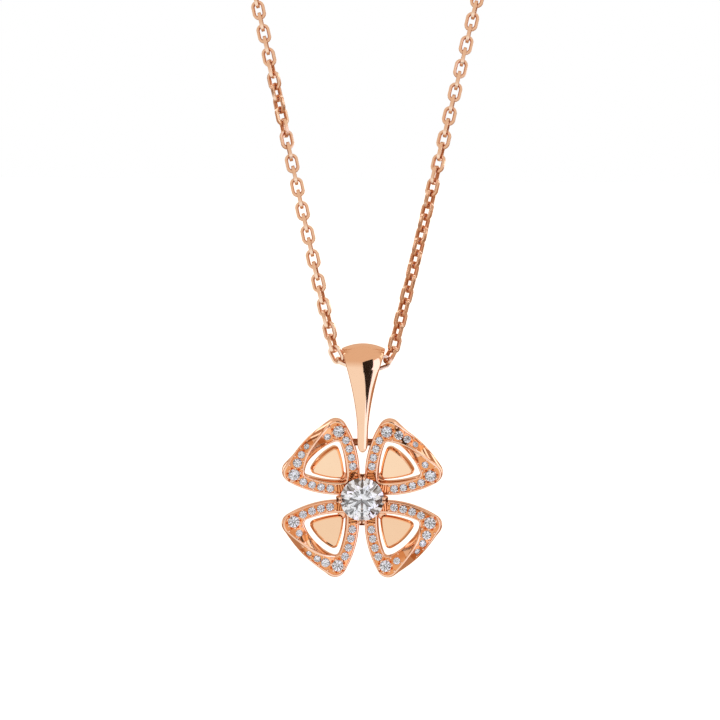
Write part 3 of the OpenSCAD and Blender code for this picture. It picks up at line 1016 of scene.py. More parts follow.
def bore_outline(y, z):
    turns = [2 * math.pi * k / BORE_STEPS for k in range(BORE_STEPS)]
    return [(y + BORE_R * math.sin(a), z + BORE_R * math.cos(a)) for a in turns]


def cut_away(piece, cutter_mesh):
    """Takes the cutter's shape out of a piece."""
    cutter = add_object("cutter", cutter_mesh)
    cut = piece.modifiers.new("cut", "BOOLEAN")
    cut.operation = "DIFFERENCE"
    cut.solver = "EXACT"
    cut.object = cutter
    finish_modifiers(piece)
    bpy.data.objects.remove(cutter)
    bpy.data.meshes.remove(cutter_mesh)


crossbar_in_bail = bail_matrix.inverted() @ CROSSBAR / MM
for outline in (drop_outline(), bore_outline(crossbar_in_bail.y, crossbar_in_bail.z)):
    cut_away(bail, prism_mesh(outline, -CUT_HALF_LENGTH, CUT_HALF_LENGTH, axis=0))
bail.data.transform(bail_matrix)
bail.data.set_sharp_from_angle(angle=METAL_CREASE)
hand_over(bail, "bail", "bail")

# %% [markdown]
# ## The crossbar
# A short rod between the two upper petals, which the bail's tip turns on. Its ends are rounded. It
# lies in shade behind the tip, so it takes a rougher gold that is painted dark: painted shade.

# %% Crossbar
CROSSBAR_R = 0.35 * MM
CROSSBAR_HALF = 1.3 * MM
END_ROUNDING = 0.08 * MM
END_STEPS = 4
crossbar_place = Matrix.Translation(CROSSBAR) @ Matrix.Rotation(math.pi / 2, 4, "Y")


def rod_profile(radius, half, rounding):
    """Outline of a rod with rounded ends, from one end of its axis to the other."""
    quarter = [math.pi / 2 * k / END_STEPS for k in range(END_STEPS + 1)]
    end = [(radius - rounding * (1 - math.sin(a)), half - rounding * (1 - math.cos(a))) for a in quarter]
    return [(0, half)] + end + [(r, -z) for r, z in reversed(end)] + [(0, -half)]


crossbar_mesh = lathe("crossbar_rod", rod_profile(CROSSBAR_R, CROSSBAR_HALF, END_ROUNDING), steps=32)
crossbar_mesh.transform(crossbar_place)
crossbar = piece_from("crossbar_rod", crossbar_mesh, [PAINTED_SHADE_GOLD])
hand_over(crossbar, "flower", "crossbar")

# %% [markdown]
# ## The petals' rule
# Each petal is one square bar, bent into a rounded triangle with a hole in it. Along the outer
# side the bar twists a quarter turn, so the face that looks outwards at one corner looks forwards
# at the next. The outlines are rounded triangles made of six arcs, three corners and three sides,
# with the same numbers as in the CAD model. Both the metal and its stones follow from this rule.

# %% Rounded triangles and the bar's frame
PETAL_OUTLINE = [[(6.9, 2.68), (2.68, 6.9), (1.55, 1.55)], [1.05, 1.05, 1.2], [25, 10, 10]]
PETAL_OPENING = [[(5.35, 2.65), (2.65, 5.35), (1.95, 1.95)], [0.45, 0.45, 0.35], [4.1, 9.3, 9.3]]
PLATE_OUTLINE = [[(4.85, 2.85), (2.85, 4.85), (2.3, 2.3)], [0.35, 0.35, 0.35], [5.3, 9, 9]]
OUTER_SIDE = 1
BAR_HALF = 0.65


def side_centre(p, q, p_r, q_r, side_r):
    """Centre of the arc that touches two corner circles from outside."""
    reach_p, reach_q = side_r - p_r, side_r - q_r
    span = (q - p).length
    e = (q - p) / span
    along = (reach_p**2 - reach_q**2 + span**2) / (2 * span)
    off = math.sqrt(reach_p**2 - along**2)
    return p + e * along + Vector((-e.y, e.x)) * off


def triangle_point(shape, stretch, t):
    """Point on a rounded triangle: even stretches are its corners and odd ones its sides."""
    corners = [Vector(c) for c in shape[0]]
    radii, side_radii = shape[1], shape[2]
    centres = []
    for k in range(3):
        m = (k + 1) % 3
        centres.append(side_centre(corners[k], corners[m], radii[k], radii[m], side_radii[k]))
    i = stretch // 2
    corner, following = corners[i], corners[(i + 1) % 3]
    if stretch % 2 == 0:
        centre, radius = corner, radii[i]
        first, last = corner - centres[(i + 2) % 3], corner - centres[i]
    else:
        centre, radius = centres[i], side_radii[i]
        first, last = corner - centres[i], following - centres[i]
    start = math.atan2(first.y, first.x)
    turn = (math.atan2(last.y, last.x) - start) % (2 * math.pi)
    a = start + turn * t
    return centre + radius * Vector((math.cos(a), math.sin(a)))


def bar_turn(stretch, t):
    """Turn of the bar: none before the outer side, and a quarter turn after it."""
    if stretch == OUTER_SIDE:
        return math.pi / 2 * t
    return 0.0 if stretch < OUTER_SIDE else math.pi / 2


def bar_frame(stretch, t):
    """Middle of the bar, its two face directions, and its half sizes along them, in mm."""
    outer = triangle_point(PETAL_OUTLINE, stretch, t)
    inner = triangle_point(PETAL_OPENING, stretch, t)
    middle = ((outer + inner) / 2).to_3d()
    across = (outer - inner).normalized()
    half = (outer - inner).length / 2
    a = bar_turn(stretch, t)
    c, s = math.cos(a), math.sin(a)
    u_dir = Vector((across.x * c, across.y * c, s))
    v_dir = Vector((-across.x * s, -across.y * s, c))
    halves = (math.hypot(half * c, BAR_HALF * s), math.hypot(half * s, BAR_HALF * c))
    return middle, (u_dir, v_dir), halves


print("bar is", round(2 * bar_frame(3, 0.5)[2][1], 2), "mm wide at the middle of a straight side")

# %% [markdown]
# ## Geometry Nodes for the twisted bar
# Bending a real bar in a vice gives exactly this rule, so the tree works as the vice does. It
# reads two small meshes: a spine, one point for each step along the petal with the outline points
# and the turn stored on it, and a section, the points round the bar. Every point of the section
# says which half sizes it scales with, its fixed offset, and whether the bed of the stones lowers
# it. So the rims keep their width while the bar's own width changes. Each face is slightly
# crowned, and part of the bed is engraved with fine ridges, which catch single lights.
#
# The last ring of points meets the first one a quarter turn on, where the twist has brought one
# face into the place of the next. Merge by Distance sews that seam.

# %% Spine and section of the bar
ROWS_PER_STRETCH = [10, 48, 10, 40, 20, 40]
CORNER_ROUNDING = 0.14
RIM_WIDTH = 0.06
BED_WALL = 0.03
FACE_CROWN = 0.05
CROWN_END = 0.7
BED_ACROSS = (-0.56, -0.4, -0.24, -0.08, 0.08, 0.24, 0.4, 0.56)
BED_DEPTH = 0.09
RIDGE_DEPTH = 0.03
BED_START, BED_FULL = 0.4, 0.55
BED_END, BED_CLOSED = 0.2, 0.34
ENGRAVED_FROM, ENGRAVED_TO = 3.82, 5.18


def bed_depths(stretch, t):
    """Depth of the stones' bed in face 0 and face 1. It fades in and out along the twist."""
    place = stretch + t
    if stretch < OUTER_SIDE:
        return 0.0, BED_DEPTH
    if stretch == OUTER_SIDE:
        growing = (t - BED_START) / (BED_FULL - BED_START)
        fading = (BED_CLOSED - t) / (BED_CLOSED - BED_END)
        return [BED_DEPTH * max(0.0, min(1.0, share)) for share in (growing, fading)]
    engraved = ENGRAVED_FROM < place < ENGRAVED_TO
    row = round(t * ROWS_PER_STRETCH[stretch])
    return RIDGE_DEPTH if engraved and row % 2 else BED_DEPTH, 0.0


def petal_spine():
    """Places along the bar, with the numbers that the tree reads."""
    places = [
        (stretch, row / rows)
        for stretch, rows in enumerate(ROWS_PER_STRETCH)
        for row in range(rows)
    ]
    outer = [triangle_point(PETAL_OUTLINE, *p).to_3d() * MM for p in places]
    inner = [triangle_point(PETAL_OPENING, *p).to_3d() * MM for p in places]
    turns = [bar_turn(*p) for p in places]
    beds = [Vector((*bed_depths(*p), 0)) * MM for p in places]
    spine = points_piece(
        "petal_spine",
        outer + outer[:1],
        outer=outer + outer[:1],
        inner=inner + inner[:1],
        turn=turns + [math.pi / 2],
        beds=beds + [Vector((BED_DEPTH, 0, 0)) * MM],
    )
    return spine, len(places)


def bar_section():
    """Points round the bar, face by face: rim, bed and a rounded corner."""
    rim, wall = CORNER_ROUNDING + RIM_WIDTH, CORNER_ROUNDING + RIM_WIDTH + BED_WALL
    one_face = [
        ((1, -1), (0, CORNER_ROUNDING), 0),
        ((1, -1), (0, rim), 0),
        ((1, -1), (0, wall), 1),
    ]
    for across in BED_ACROSS:
        one_face.append(((1, across), (FACE_CROWN * (1 - (across / CROWN_END) ** 2), 0), 1))
    one_face += [
        ((1, 1), (0, -wall), 1),
        ((1, 1), (0, -rim), 0),
        ((1, 1), (0, -CORNER_ROUNDING), 0),
    ]
    for k in (1, 2, 3):
        a = math.pi / 8 * k
        offset = (CORNER_ROUNDING * (math.cos(a) - 1), CORNER_ROUNDING * (math.sin(a) - 1))
        one_face.append(((1, 1), offset, 0))
    corners, offsets, lowered = [], [], []
    for face in range(4):
        quarter = Matrix.Rotation(math.pi / 2 * face, 2)
        for corner, offset, low in one_face:
            corners.append((quarter @ Vector(corner)).to_3d())
            offsets.append((quarter @ Vector(offset)).to_3d() * MM)
            lowered.append((quarter @ Vector((-1, 0))).to_3d() * (low if face < 2 else 0))
    section = points_piece("bar_section", offsets, corner=corners, offset=offsets, lowered=lowered)
    return section, len(offsets)


spine, spine_rows = petal_spine()
section, section_points = bar_section()
print(spine_rows, "steps along the bar and", section_points, "points round it")

# %% Geometry Nodes: the twisted petal bar
SEAM = 0.0005 * MM
BED_SHOWS_FROM = 0.004 * MM


def petal_bar_tree():
    """Grid of points, each put in its place by its row of the spine and its section point."""
    bar = ShapeTree("twisted petal bar", Section="Object", Rows=100, Columns=32, Half_depth=BAR_HALF * MM)
    columns = bar.math("ADD", bar.given("Columns"), 1.0)
    size = {"Vertices X": bar.math("ADD", bar.given("Rows"), 1.0), "Vertices Y": columns}
    grid = bar.add("GeometryNodeMeshGrid", size)
    index = bar.add("GeometryNodeInputIndex")
    row = bar.math("FLOOR", bar.math("DIVIDE", bar.math("ADD", index, 0.5), columns))
    column = bar.math("MODULO", bar.math("MODULO", index, columns), bar.given("Columns"))
    section_shape = bar.shape_of("Section")

    def read(geometry, name, place, kind="FLOAT_VECTOR"):
        inputs = {"Geometry": geometry, "Value": bar.attribute(name, kind), "Index": place}
        return bar.add("GeometryNodeSampleIndex", inputs, data_type=kind, domain="POINT")

    outer, inner, beds = (read(bar.given("Geometry"), n, row) for n in ("outer", "inner", "beds"))
    turn = read(bar.given("Geometry"), "turn", row, "FLOAT")
    corner, offset, lowered = (read(section_shape, n, column) for n in ("corner", "offset", "lowered"))
    middle = bar.scaled(bar.vector("ADD", outer, inner), 0.5)
    span = bar.vector("SUBTRACT", outer, inner)
    across = bar.vector("NORMALIZE", span)
    half = bar.math("MULTIPLY", bar.vector("LENGTH", span), 0.5)
    c, s = bar.math("COSINE", turn), bar.math("SINE", turn)
    up_s, up_c = (bar.add("ShaderNodeCombineXYZ", {"Z": up}) for up in (s, c))
    u_dir = bar.vector("ADD", bar.scaled(across, c), up_s)
    v_dir = bar.vector("ADD", bar.scaled(across, bar.math("MULTIPLY", s, -1.0)), up_c)

    def half_size(first, second):
        along = bar.math("POWER", bar.math("MULTIPLY", half, first), 2.0)
        deep = bar.math("POWER", bar.math("MULTIPLY", bar.given("Half_depth"), second), 2.0)
        return bar.math("SQRT", bar.math("ADD", along, deep))

    halves = bar.add("ShaderNodeCombineXYZ", {"X": half_size(c, s), "Y": half_size(s, c)})
    on_bed = bar.vector("MULTIPLY", lowered, beds)
    local = bar.vector("ADD", bar.vector("MULTIPLY", corner, halves), bar.vector("ADD", offset, on_bed))
    parts = bar.add("ShaderNodeSeparateXYZ", {"Vector": local}, None).outputs
    aside = bar.vector("ADD", bar.scaled(u_dir, parts["X"]), bar.scaled(v_dir, parts["Y"]))
    marked = bar.store(grid, "bed", bar.vector("LENGTH", on_bed), "FLOAT", "POINT")
    move = {"Geometry": marked, "Position": bar.vector("ADD", middle, aside)}
    placed = bar.add("GeometryNodeSetPosition", move)
    bar.finish(bar.add("GeometryNodeMergeByDistance", {"Geometry": placed, "Distance": SEAM}), POLISHED)
    # Painted shade: the lowered bed takes the deeper bright-cut gold.
    in_bed = bar.math("GREATER_THAN", bar.attribute("bed", "FLOAT"), BED_SHOWS_FROM)
    bar.coat(BRIGHT_CUT_SHADE_GOLD, bar.coated, Selection=in_bed)
    return bar


PETAL_BAR = petal_bar_tree()
sizes = {"Rows": spine_rows, "Columns": section_points, "Half_depth": BAR_HALF * MM}
petal_metal = PETAL_BAR.run(spine, Section=section, **sizes)
petal_metal.data.attributes.remove(petal_metal.data.attributes["bed"])
bpy.data.objects.remove(section)
print("bar has", len(petal_metal.data.polygons), "faces")

# %% [markdown]
# ## The stones' places
# A setter drills a seat for each stone along the bed: fourteen in each petal. The largest ones sit
# at the two outer corners. On the twisted side between them, three shrink away from one corner
# and one stands next to the other. Four more stand along each straight side. Each seat is a
# short cylinder with a cone below it and a small hole through the middle, as real seats are, so
# that light reaches the stones from behind. Between the seats the setter's graver leaves small
# bright pits. No pit touches another, because cutters that cross each other make a solid boolean
# fail.

# %% Where the stones sit
CORNER_STONE_D = 1.15
TWIST_STONE_D = 0.7
SIDE_STONE_D = 0.78
FIRST_SIDE_STONE = 0.125
SIDE_STONE_STEP = 0.188
STONE_SINK = 0.045
GRAIN_LIFT = -0.03
PETAL_MIDDLE = 3.6


def side_place(i):
    """Share of a straight side at which its stone number i sits."""
    return FIRST_SIDE_STONE + SIDE_STONE_STEP * i


PETAL_STONES = [
    (0, 0.5, 1, CORNER_STONE_D), (1, 0.13, 1, TWIST_STONE_D), (2, 0.5, 0, CORNER_STONE_D),
]
PETAL_STONES += [(1, 0.87 - 0.167 * i, 0, 0.9 - 0.15 * i) for i in range(3)]
PETAL_STONES += [(3, side_place(i), 0, SIDE_STONE_D) for i in range(4)]
PETAL_STONES += [(5, 1 - side_place(i), 0, SIDE_STONE_D) for i in range(4)]


def on_bar_face(stretch, t, face, lift=0.0, aside=0.0):
    """Point on a face of the bar and the direction that the face looks, in mm."""
    middle, directions, halves = bar_frame(stretch, t)
    facing = directions[face]
    sideways = directions[1 - face]
    return middle + facing * (halves[face] + lift) + sideways * aside, facing


def round_corner_stone(stretch, face, start, gap):
    """Six places round a corner's large stone, each with its facing, in mm."""
    middle, facing = on_bar_face(stretch, 0.5, face, GRAIN_LIFT)
    outward = (middle - Vector((PETAL_MIDDLE, PETAL_MIDDLE, middle.z))).normalized()
    outward = (outward - facing * outward.dot(facing)).normalized()
    along = facing.cross(outward)
    reach = CORNER_STONE_D / 2 + gap
    turns = [math.radians(start + 60 * k) for k in range(6)]
    return [(middle + (outward * math.cos(a) + along * math.sin(a)) * reach, facing) for a in turns]


# %% Seats and pits
SEAT_STEPS = 20
SEAT_TOP = 0.5
SEAT_ROOM = 0.015
SEAT_LEDGE = -0.02
SEAT_CONE = -0.42
SEAT_BELOW = 0.03
SEAT_HOLE = 0.2
SEAT_DEPTH = 1.5
PIT_R = 0.1
PIT_RISE = 0.3
PIT_STEPS = 8
TWIST_PITS = (0.785, 0.622)
CORNER_STONES = ((0, 1), (2, 0))


def seat_profile(d):
    """Half outline of a seat's cutter: wide at the top, a cone, and a thin hole."""
    r = d / 2 + SEAT_ROOM
    hole = SEAT_HOLE * d
    cone_end = SEAT_CONE * d * (1 - hole / r) - SEAT_BELOW
    end = -SEAT_DEPTH * d
    return [(0, SEAT_TOP), (r, SEAT_TOP), (r, SEAT_LEDGE), (hole, cone_end), (hole, end), (0, end)]


def pit_places():
    """Places of the small cuts between the stones, each with its facing, in mm."""
    pits = []
    for gap in range(4):
        t = side_place(gap - 0.5)
        pits += [on_bar_face(3, t, 0), on_bar_face(5, 1 - t, 0)]
    pits += [on_bar_face(1, t, 0) for t in TWIST_PITS]
    for stretch, face in CORNER_STONES:
        pits += round_corner_stone(stretch, face, start=30, gap=0.1)
    return pits


def cut_seats(piece, cutters, steps, material):
    """Cuts lathe-turned shapes out of a piece, each given as its profile, place and facing."""
    together = bmesh.new()
    for profile, (place, facing) in cutters:
        one = lathe("cutter", [(r * MM, z * MM) for r, z in profile], steps)
        one.transform(Matrix.Translation(place * MM) @ facing.to_track_quat("Z", "Y").to_matrix().to_4x4())
        together.from_mesh(one)
        bpy.data.meshes.remove(one)
    mesh = plain_mesh("cutters", together)
    mesh.materials.append(material)
    cut_away(piece, mesh)


pit_profile = [(0, PIT_RISE), (PIT_R + PIT_RISE, PIT_RISE), (0, -PIT_R - BED_DEPTH)]
stone_places = [on_bar_face(stretch, t, face, -STONE_SINK) for stretch, t, face, _ in PETAL_STONES]
seat_profiles = [seat_profile(d) for *_, d in PETAL_STONES]
cut_seats(petal_metal, [(pit_profile, pit) for pit in pit_places()], PIT_STEPS, BRIGHT_CUT_SHADE_GOLD)
cut_seats(petal_metal, list(zip(seat_profiles, stone_places)), SEAT_STEPS, POLISHED)
print("petal with its seats has", len(petal_metal.data.polygons), "faces")

# %% [markdown]
# ## Brilliants
# All stones are round brilliants: a flat table, a crown of eight kites with eight stars and
# sixteen upper halves, a thin girdle, and a pointed back of eight mains and sixteen lower halves.
# The corner points of these facets follow from a few shares of the diameter, and their convex hull
# is the cut stone. The stone has a diameter of 1 and is scaled where it is set. The girdle of the
# centre stone has more points than the small ones need.

# %% One brilliant
TABLE_R = 0.275
STAR_R = 0.377
GIRDLE_R = 0.5
GIRDLE_TOP = 0.03
CULET = -0.42
LOWER_R = 0.115
EIGHTH = math.pi / 4
ROUND_OFF = 1e-6


def polar(r, a, z):
    return Vector((r * math.cos(a), r * math.sin(a), z))


def height_on_plane(a, b, c, x, y):
    """Height at x, y of the plane through three points."""
    normal = (b - a).cross(c - a)
    return a.z - (normal.x * (x - a.x) + normal.y * (y - a.y)) / normal.z


def brilliant_mesh(name, girdle_points):
    """Convex hull of a brilliant's corners, with its coplanar triangles joined to facets."""
    kite_slope = (TABLE_TOP - GIRDLE_TOP) / (GIRDLE_R - TABLE_R)
    star_z = TABLE_TOP - (STAR_R * math.cos(EIGHTH / 2) - TABLE_R) * kite_slope
    lower_z = CULET - CULET / GIRDLE_R * LOWER_R * math.cos(EIGHTH / 2)
    points = [Vector((0, 0, CULET))]
    for k in range(8):
        points.append(polar(TABLE_R, EIGHTH * k, TABLE_TOP))
        points.append(polar(STAR_R, EIGHTH * (k + 0.5), star_z))
        points.append(polar(LOWER_R, EIGHTH * (k + 0.5), lower_z))
    for k in range(girdle_points):
        a = 2 * math.pi * k / girdle_points
        half = EIGHTH / 2
        start = math.floor(a / half + ROUND_OFF) * half
        between = start if round(start / half) % 2 else start + half
        for inner_r, inner_z, girdle_z in ((STAR_R, star_z, GIRDLE_TOP), (LOWER_R, lower_z, 0)):
            corner = polar(inner_r, between, inner_z)
            first = polar(GIRDLE_R, start, girdle_z)
            second = polar(GIRDLE_R, start + half, girdle_z)
            x, y = GIRDLE_R * math.cos(a), GIRDLE_R * math.sin(a)
            points.append(Vector((x, y, height_on_plane(corner, first, second, x, y))))
    stone = bmesh.new()
    for point in points:
        stone.verts.new(point)
    hull = bmesh.ops.convex_hull(stone, input=stone.verts)
    bmesh.ops.delete(stone, geom=hull["geom_unused"] + hull["geom_interior"], context="VERTS")
    bmesh.ops.dissolve_limit(stone, angle_limit=math.radians(1), verts=stone.verts, edges=stone.edges)
    bmesh.ops.recalc_face_normals(stone, faces=stone.faces)
    mesh = plain_mesh(name, stone)
    print(name, "has", len(mesh.polygons), "facets")
    return mesh


small_mesh = brilliant_mesh("small_brilliant", girdle_points=16)
small_brilliant = piece_from("small_brilliant", small_mesh, smooth_below=0)

# %% Geometry Nodes: set a shape on points


def setting_tree(name, material):
    """A shape on every point, turned to the point's facing and scaled to its size."""
    tree = ShapeTree(name, Shape="Object", Turn=0.0, Seed=1)
    limits = {"Min": 0.0, "Max": tree.given("Turn"), "Seed": tree.given("Seed")}
    chance = tree.add("FunctionNodeRandomValue", limits, "Value", data_type="FLOAT")
    rotation = tree.spun(tree.aligned("Z", {"Vector": tree.attribute("facing")}), chance)
    places = tree.add("GeometryNodeMeshToPoints", {"Mesh": tree.given("Geometry")})
    size = tree.attribute("size", "FLOAT")
    tree.finish(tree.copies(places, "Shape", Rotation=rotation, Scale=size), material)
    return tree


def set_on_points(name, material, shape, places, sizes, turn, seed):
    """Piece with the shape on each (place, facing), and the shape's own object removed."""
    piece = points_piece(
        name,
        [place * MM for place, _ in places],
        facing=[facing for _, facing in places],
        size=[size * MM for size in sizes],
    )
    setting_tree(name, material).run(piece, Shape=shape, Turn=turn, Seed=seed)
    bpy.data.objects.remove(shape)
    return piece


diameters = [d for *_, d in PETAL_STONES]
petal_stones = set_on_points(
    "petal_stones", DIAMOND, small_brilliant, stone_places, diameters, turn=EIGHTH, seed=4
)
petal_stones.data.polygons.foreach_set("use_smooth", [False] * len(petal_stones.data.polygons))

# %% [markdown]
# ## Grains
# Stones in a pave row are held by grains: the setter pushes a curl of metal from the bed against
# the stone and rounds it with a cupped punch. Two grains stand in each gap between neighbours, one
# at each rim, and six more hold each large stone in the corners. A punched grain is wider than
# it is high.

# %% Where the grains stand
GRAIN_R = 0.135
CORNER_GRAIN_R = 0.14
GRAIN_FLATNESS = 0.65
GRAIN_OVERLAP = 0.55
LAST_GAP = 3.55
TWIST_GRAINS = [
    (0.955, 0, 0.13), (0.785, 0, 0.12), (0.622, 0, 0.11), (0.47, 0, 0.1), (0.03, 1, 0.13), (0.205, 1, 0.11),
]


def grain_places():
    """Each grain's place with its facing, and its radius, in mm."""
    grains = []

    def pair(stretch, t, face, radius):
        sideways = bar_frame(stretch, t)[2][1 - face] - CORNER_ROUNDING - RIM_WIDTH - BED_WALL
        for sign in (-1, 1):
            aside = sign * (sideways - GRAIN_OVERLAP * radius)
            grains.append((on_bar_face(stretch, t, face, GRAIN_LIFT, aside), radius))

    for t in [side_place(gap + 0.5) for gap in range(3)] + [0.0, side_place(LAST_GAP)]:
        pair(3, t, 0, GRAIN_R)
        pair(5, 1 - t, 0, GRAIN_R)
    for t, face, radius in TWIST_GRAINS:
        pair(1, t, face, radius)
    for stretch, face in CORNER_STONES:
        grains += [(grain, CORNER_GRAIN_R) for grain in round_corner_stone(stretch, face, start=0, gap=0.07)]
    return grains


grains = grain_places()
flatten = Matrix.Scale(GRAIN_FLATNESS, 4, (0, 0, 1))
grain_shape = bmesh.new()
bmesh.ops.create_icosphere(grain_shape, subdivisions=2, radius=1, matrix=flatten)
grain = piece_from("grain", plain_mesh("grain", grain_shape), smooth_below=180)
grain_at, radii = zip(*grains)
petal_grains = set_on_points("petal_grains", POLISHED, grain, grain_at, radii, turn=1.0, seed=7)
print(len(grains), "grains in each petal")

# %% [markdown]
# ## Four petals
# The flower has four petals that are all alike, each a quarter turn from the last. The metal with
# its grains is one piece, the fourteen stones are another, and both lean towards the viewer. The
# round setting stands in the middle, so the petals are cut round to make room for it, and the two
# upper ones are drilled for the crossbar.

# %% Petals and their stones
COLLAR_R = 1.65
SEAT_GAP = 0.03


def drilled(piece, radius, half_length, place):
    """Cuts a round hole through a piece."""
    profile = [(0, half_length), (radius, half_length), (radius, -half_length), (0, -half_length)]
    drill = lathe("drill", profile, steps=48)
    drill.transform(place)
    cut_away(piece, drill)


for i, side in enumerate(SIDES):
    petal = piece_from(f"twisted_petal_{side}", petal_metal.data.copy())
    petal.data.transform(petal_matrix(i))
    drilled(petal, (COLLAR_R + SEAT_GAP) * MM, half_length=3 * MM, place=flower_matrix)
    if side.startswith("upper"):
        drilled(petal, CROSSBAR_R + SEAT_GAP * MM, CROSSBAR_HALF + SEAT_GAP * MM, crossbar_place)
    own_grains = piece_from("own_grains", petal_grains.data.copy())
    own_grains.data.transform(petal_matrix(i))
    take_in(petal, own_grains)
    petal.data.set_sharp_from_angle(angle=METAL_CREASE)
    hand_over(petal, "flower", f"petal_{side}")
    stones = piece_from(f"brilliants_{side}", petal_stones.data.copy(), smooth_below=0)
    stones.data.transform(petal_matrix(i))
    hand_over(stones, "flower", f"pave_{side}")
for part in (petal_metal, petal_grains, petal_stones):
    bpy.data.objects.remove(part)

# %% [markdown]
# ## Mirror plates
# Inside each petal sits a smaller rounded triangle with a flat mirror face. Flat faces show one
# even tone, which is why the photo's plates look painted. Only the narrow bevel round the face
# catches other light. The plate is a little wider at its back than at its face. It is drawn
# smaller than the CAD model's, about its inner corner, because the photo's plates leave a wider
# gap on their outer side.

# %% Plates
PLATE_BACK = -0.62
PLATE_FRONT = 0.3
PLATE_BEVEL = 0.1
BACK_BEVEL = 0.06
PLATE_TAPER = 0.16
PLATE_SHARE = 0.93
PLATE_STEPS = [10, 24, 10, 18, 10, 18]
PLATE_LEVELS = [
    (PLATE_BACK, BACK_BEVEL - PLATE_TAPER),
    (PLATE_BACK + BACK_BEVEL, -PLATE_TAPER),
    (-0.1, 0.01 - PLATE_TAPER),
    (PLATE_FRONT - 0.9 * PLATE_BEVEL, 0),
    (PLATE_FRONT, PLATE_BEVEL),
]


def plate_mesh():
    """Rounded triangle with thickness: an outline at several depths, each with its own inset."""
    outline = [
        triangle_point(PLATE_OUTLINE, stretch, k / steps)
        for stretch, steps in enumerate(PLATE_STEPS)
        for k in range(steps)
    ]
    corner = min(outline, key=lambda p: p.length)
    outline = [corner + (p - corner) * PLATE_SHARE for p in outline]
    count = len(outline)
    middle = sum(outline, Vector((0, 0))) / count
    points = []
    for z, inset in PLATE_LEVELS:
        for k, p in enumerate(outline):
            along = (outline[(k + 1) % count] - outline[k - 1]).normalized()
            inwards = Vector((-along.y, along.x))
            if inwards.dot(middle - p) < 0:
                inwards = -inwards
            moved = p + inwards * inset
            points.append((moved.x * MM, moved.y * MM, z * MM))
    levels = len(PLATE_LEVELS)
    ends = [tuple(range(count)), tuple(range((levels - 1) * count, levels * count))]
    return mesh_from("mirror_plate", points, ends + strip_faces(levels, count, rows_meet=False))


for i, side in enumerate(SIDES):
    plate = piece_from(f"mirror_plate_{side}", plate_mesh(), [PLATE_GOLD], smooth_below=20)
    plate.data.transform(petal_matrix(i))
    hand_over(plate, "flower", f"plate_{side}")

# %% [markdown]
# ## Centre stone and its setting
# The centre stone is a brilliant of 4.3 mm. Four split claws hold it at the top, the bottom and
# both sides: each claw ends in two small beads with a groove between them. The claws grow from a
# collar that is turned on a lathe and that follows the stone's pointed back. Four short arms
# behind the petals tie the flower together.

# %% Centre stone
centre_mesh = brilliant_mesh("centre_brilliant", girdle_points=64)
centre_place = Matrix.Translation((0, 0, GIRDLE_Z)) @ Matrix.Scale(CENTRE_STONE_D, 4)
centre_mesh.transform(flower_matrix @ centre_place)
centre = piece_from("centre_brilliant", centre_mesh, [DIAMOND], smooth_below=0)
hand_over(centre, "flower", "centre_stone")

# %% Collar, claws and arms
COLLAR_BACK = -1.1
COLLAR_FRONT = 0.75
COLLAR_HOLE_R = 0.6
SETTING_CREASE = 40
BEVEL_ABOVE = 25
CLAW_SIDE = [
    (1.3, -0.5), (1.65, -0.5), (2.48, 1.05), (2.58, 1.5), (2.5, 1.88),
    (2.25, 2.04), (2.0, 2.0), (1.93, 1.9), (2.12, 1.66), (2.18, 1.5), (2.12, 1.24), (1.3, 0.3),
]
PRONG_MIDDLE = 0.17
PRONG_HALF = 0.13
CLAW_BEAD_R = 0.17
BEAD_FLATNESS = 0.75
CLAW_BEAD_AT = (2.2, 0.19, 2.0)
ARM_HALF_WIDTH = 0.4
ARM_START_R = 0.8
ARM_END_R = 3.5
ARM_BACK, ARM_FRONT = -1.1, -0.68


def stone_back_z(r):
    """Height of the stone's pointed back at a radius, with a small gap."""
    centre_d = CENTRE_STONE_D / MM
    return GIRDLE_Z / MM + CULET * centre_d * (1 - 2 * r / centre_d) - SEAT_GAP


def seat_r(z):
    """Radius at which the collar's seat reaches a height."""
    centre_d = CENTRE_STONE_D / MM
    return (1 - (GIRDLE_Z / MM - SEAT_GAP - z) / (-CULET * centre_d)) * centre_d / 2


def collar_mesh():
    """Lathe-turned basket, with rounded outer edges and a shallow waist."""
    outer = [
        (1.57, COLLAR_BACK), (1.63, COLLAR_BACK + 0.03), (1.65, COLLAR_BACK + 0.1),
        (1.65, -0.62), (1.6, -0.5), (1.58, -0.3), (1.58, 0.2), (1.6, 0.4), (1.65, 0.52),
        (1.65, COLLAR_FRONT - 0.08), (1.63, COLLAR_FRONT - 0.02), (1.57, COLLAR_FRONT),
    ]
    inner = [
        (seat_r(COLLAR_FRONT), COLLAR_FRONT), (COLLAR_HOLE_R + 0.03, stone_back_z(COLLAR_HOLE_R + 0.03)),
        (COLLAR_HOLE_R, stone_back_z(COLLAR_HOLE_R) - 0.05), (COLLAR_HOLE_R, COLLAR_BACK + 0.06),
        (COLLAR_HOLE_R + 0.06, COLLAR_BACK),
    ]
    return lathe("collar", [(r * MM, z * MM) for r, z in outer + inner], steps=64)


def bevelled(mesh, width, segments):
    """Rounds the edges of a small part."""
    part = piece_from("part", mesh)
    bevel = part.modifiers.new("bevel", "BEVEL")
    bevel.width = width * MM
    bevel.segments = segments
    bevel.limit_method = "ANGLE"
    bevel.angle_limit = math.radians(BEVEL_ABOVE)
    finish_modifiers(part)
    rounded = part.data
    bpy.data.objects.remove(part)
    return rounded


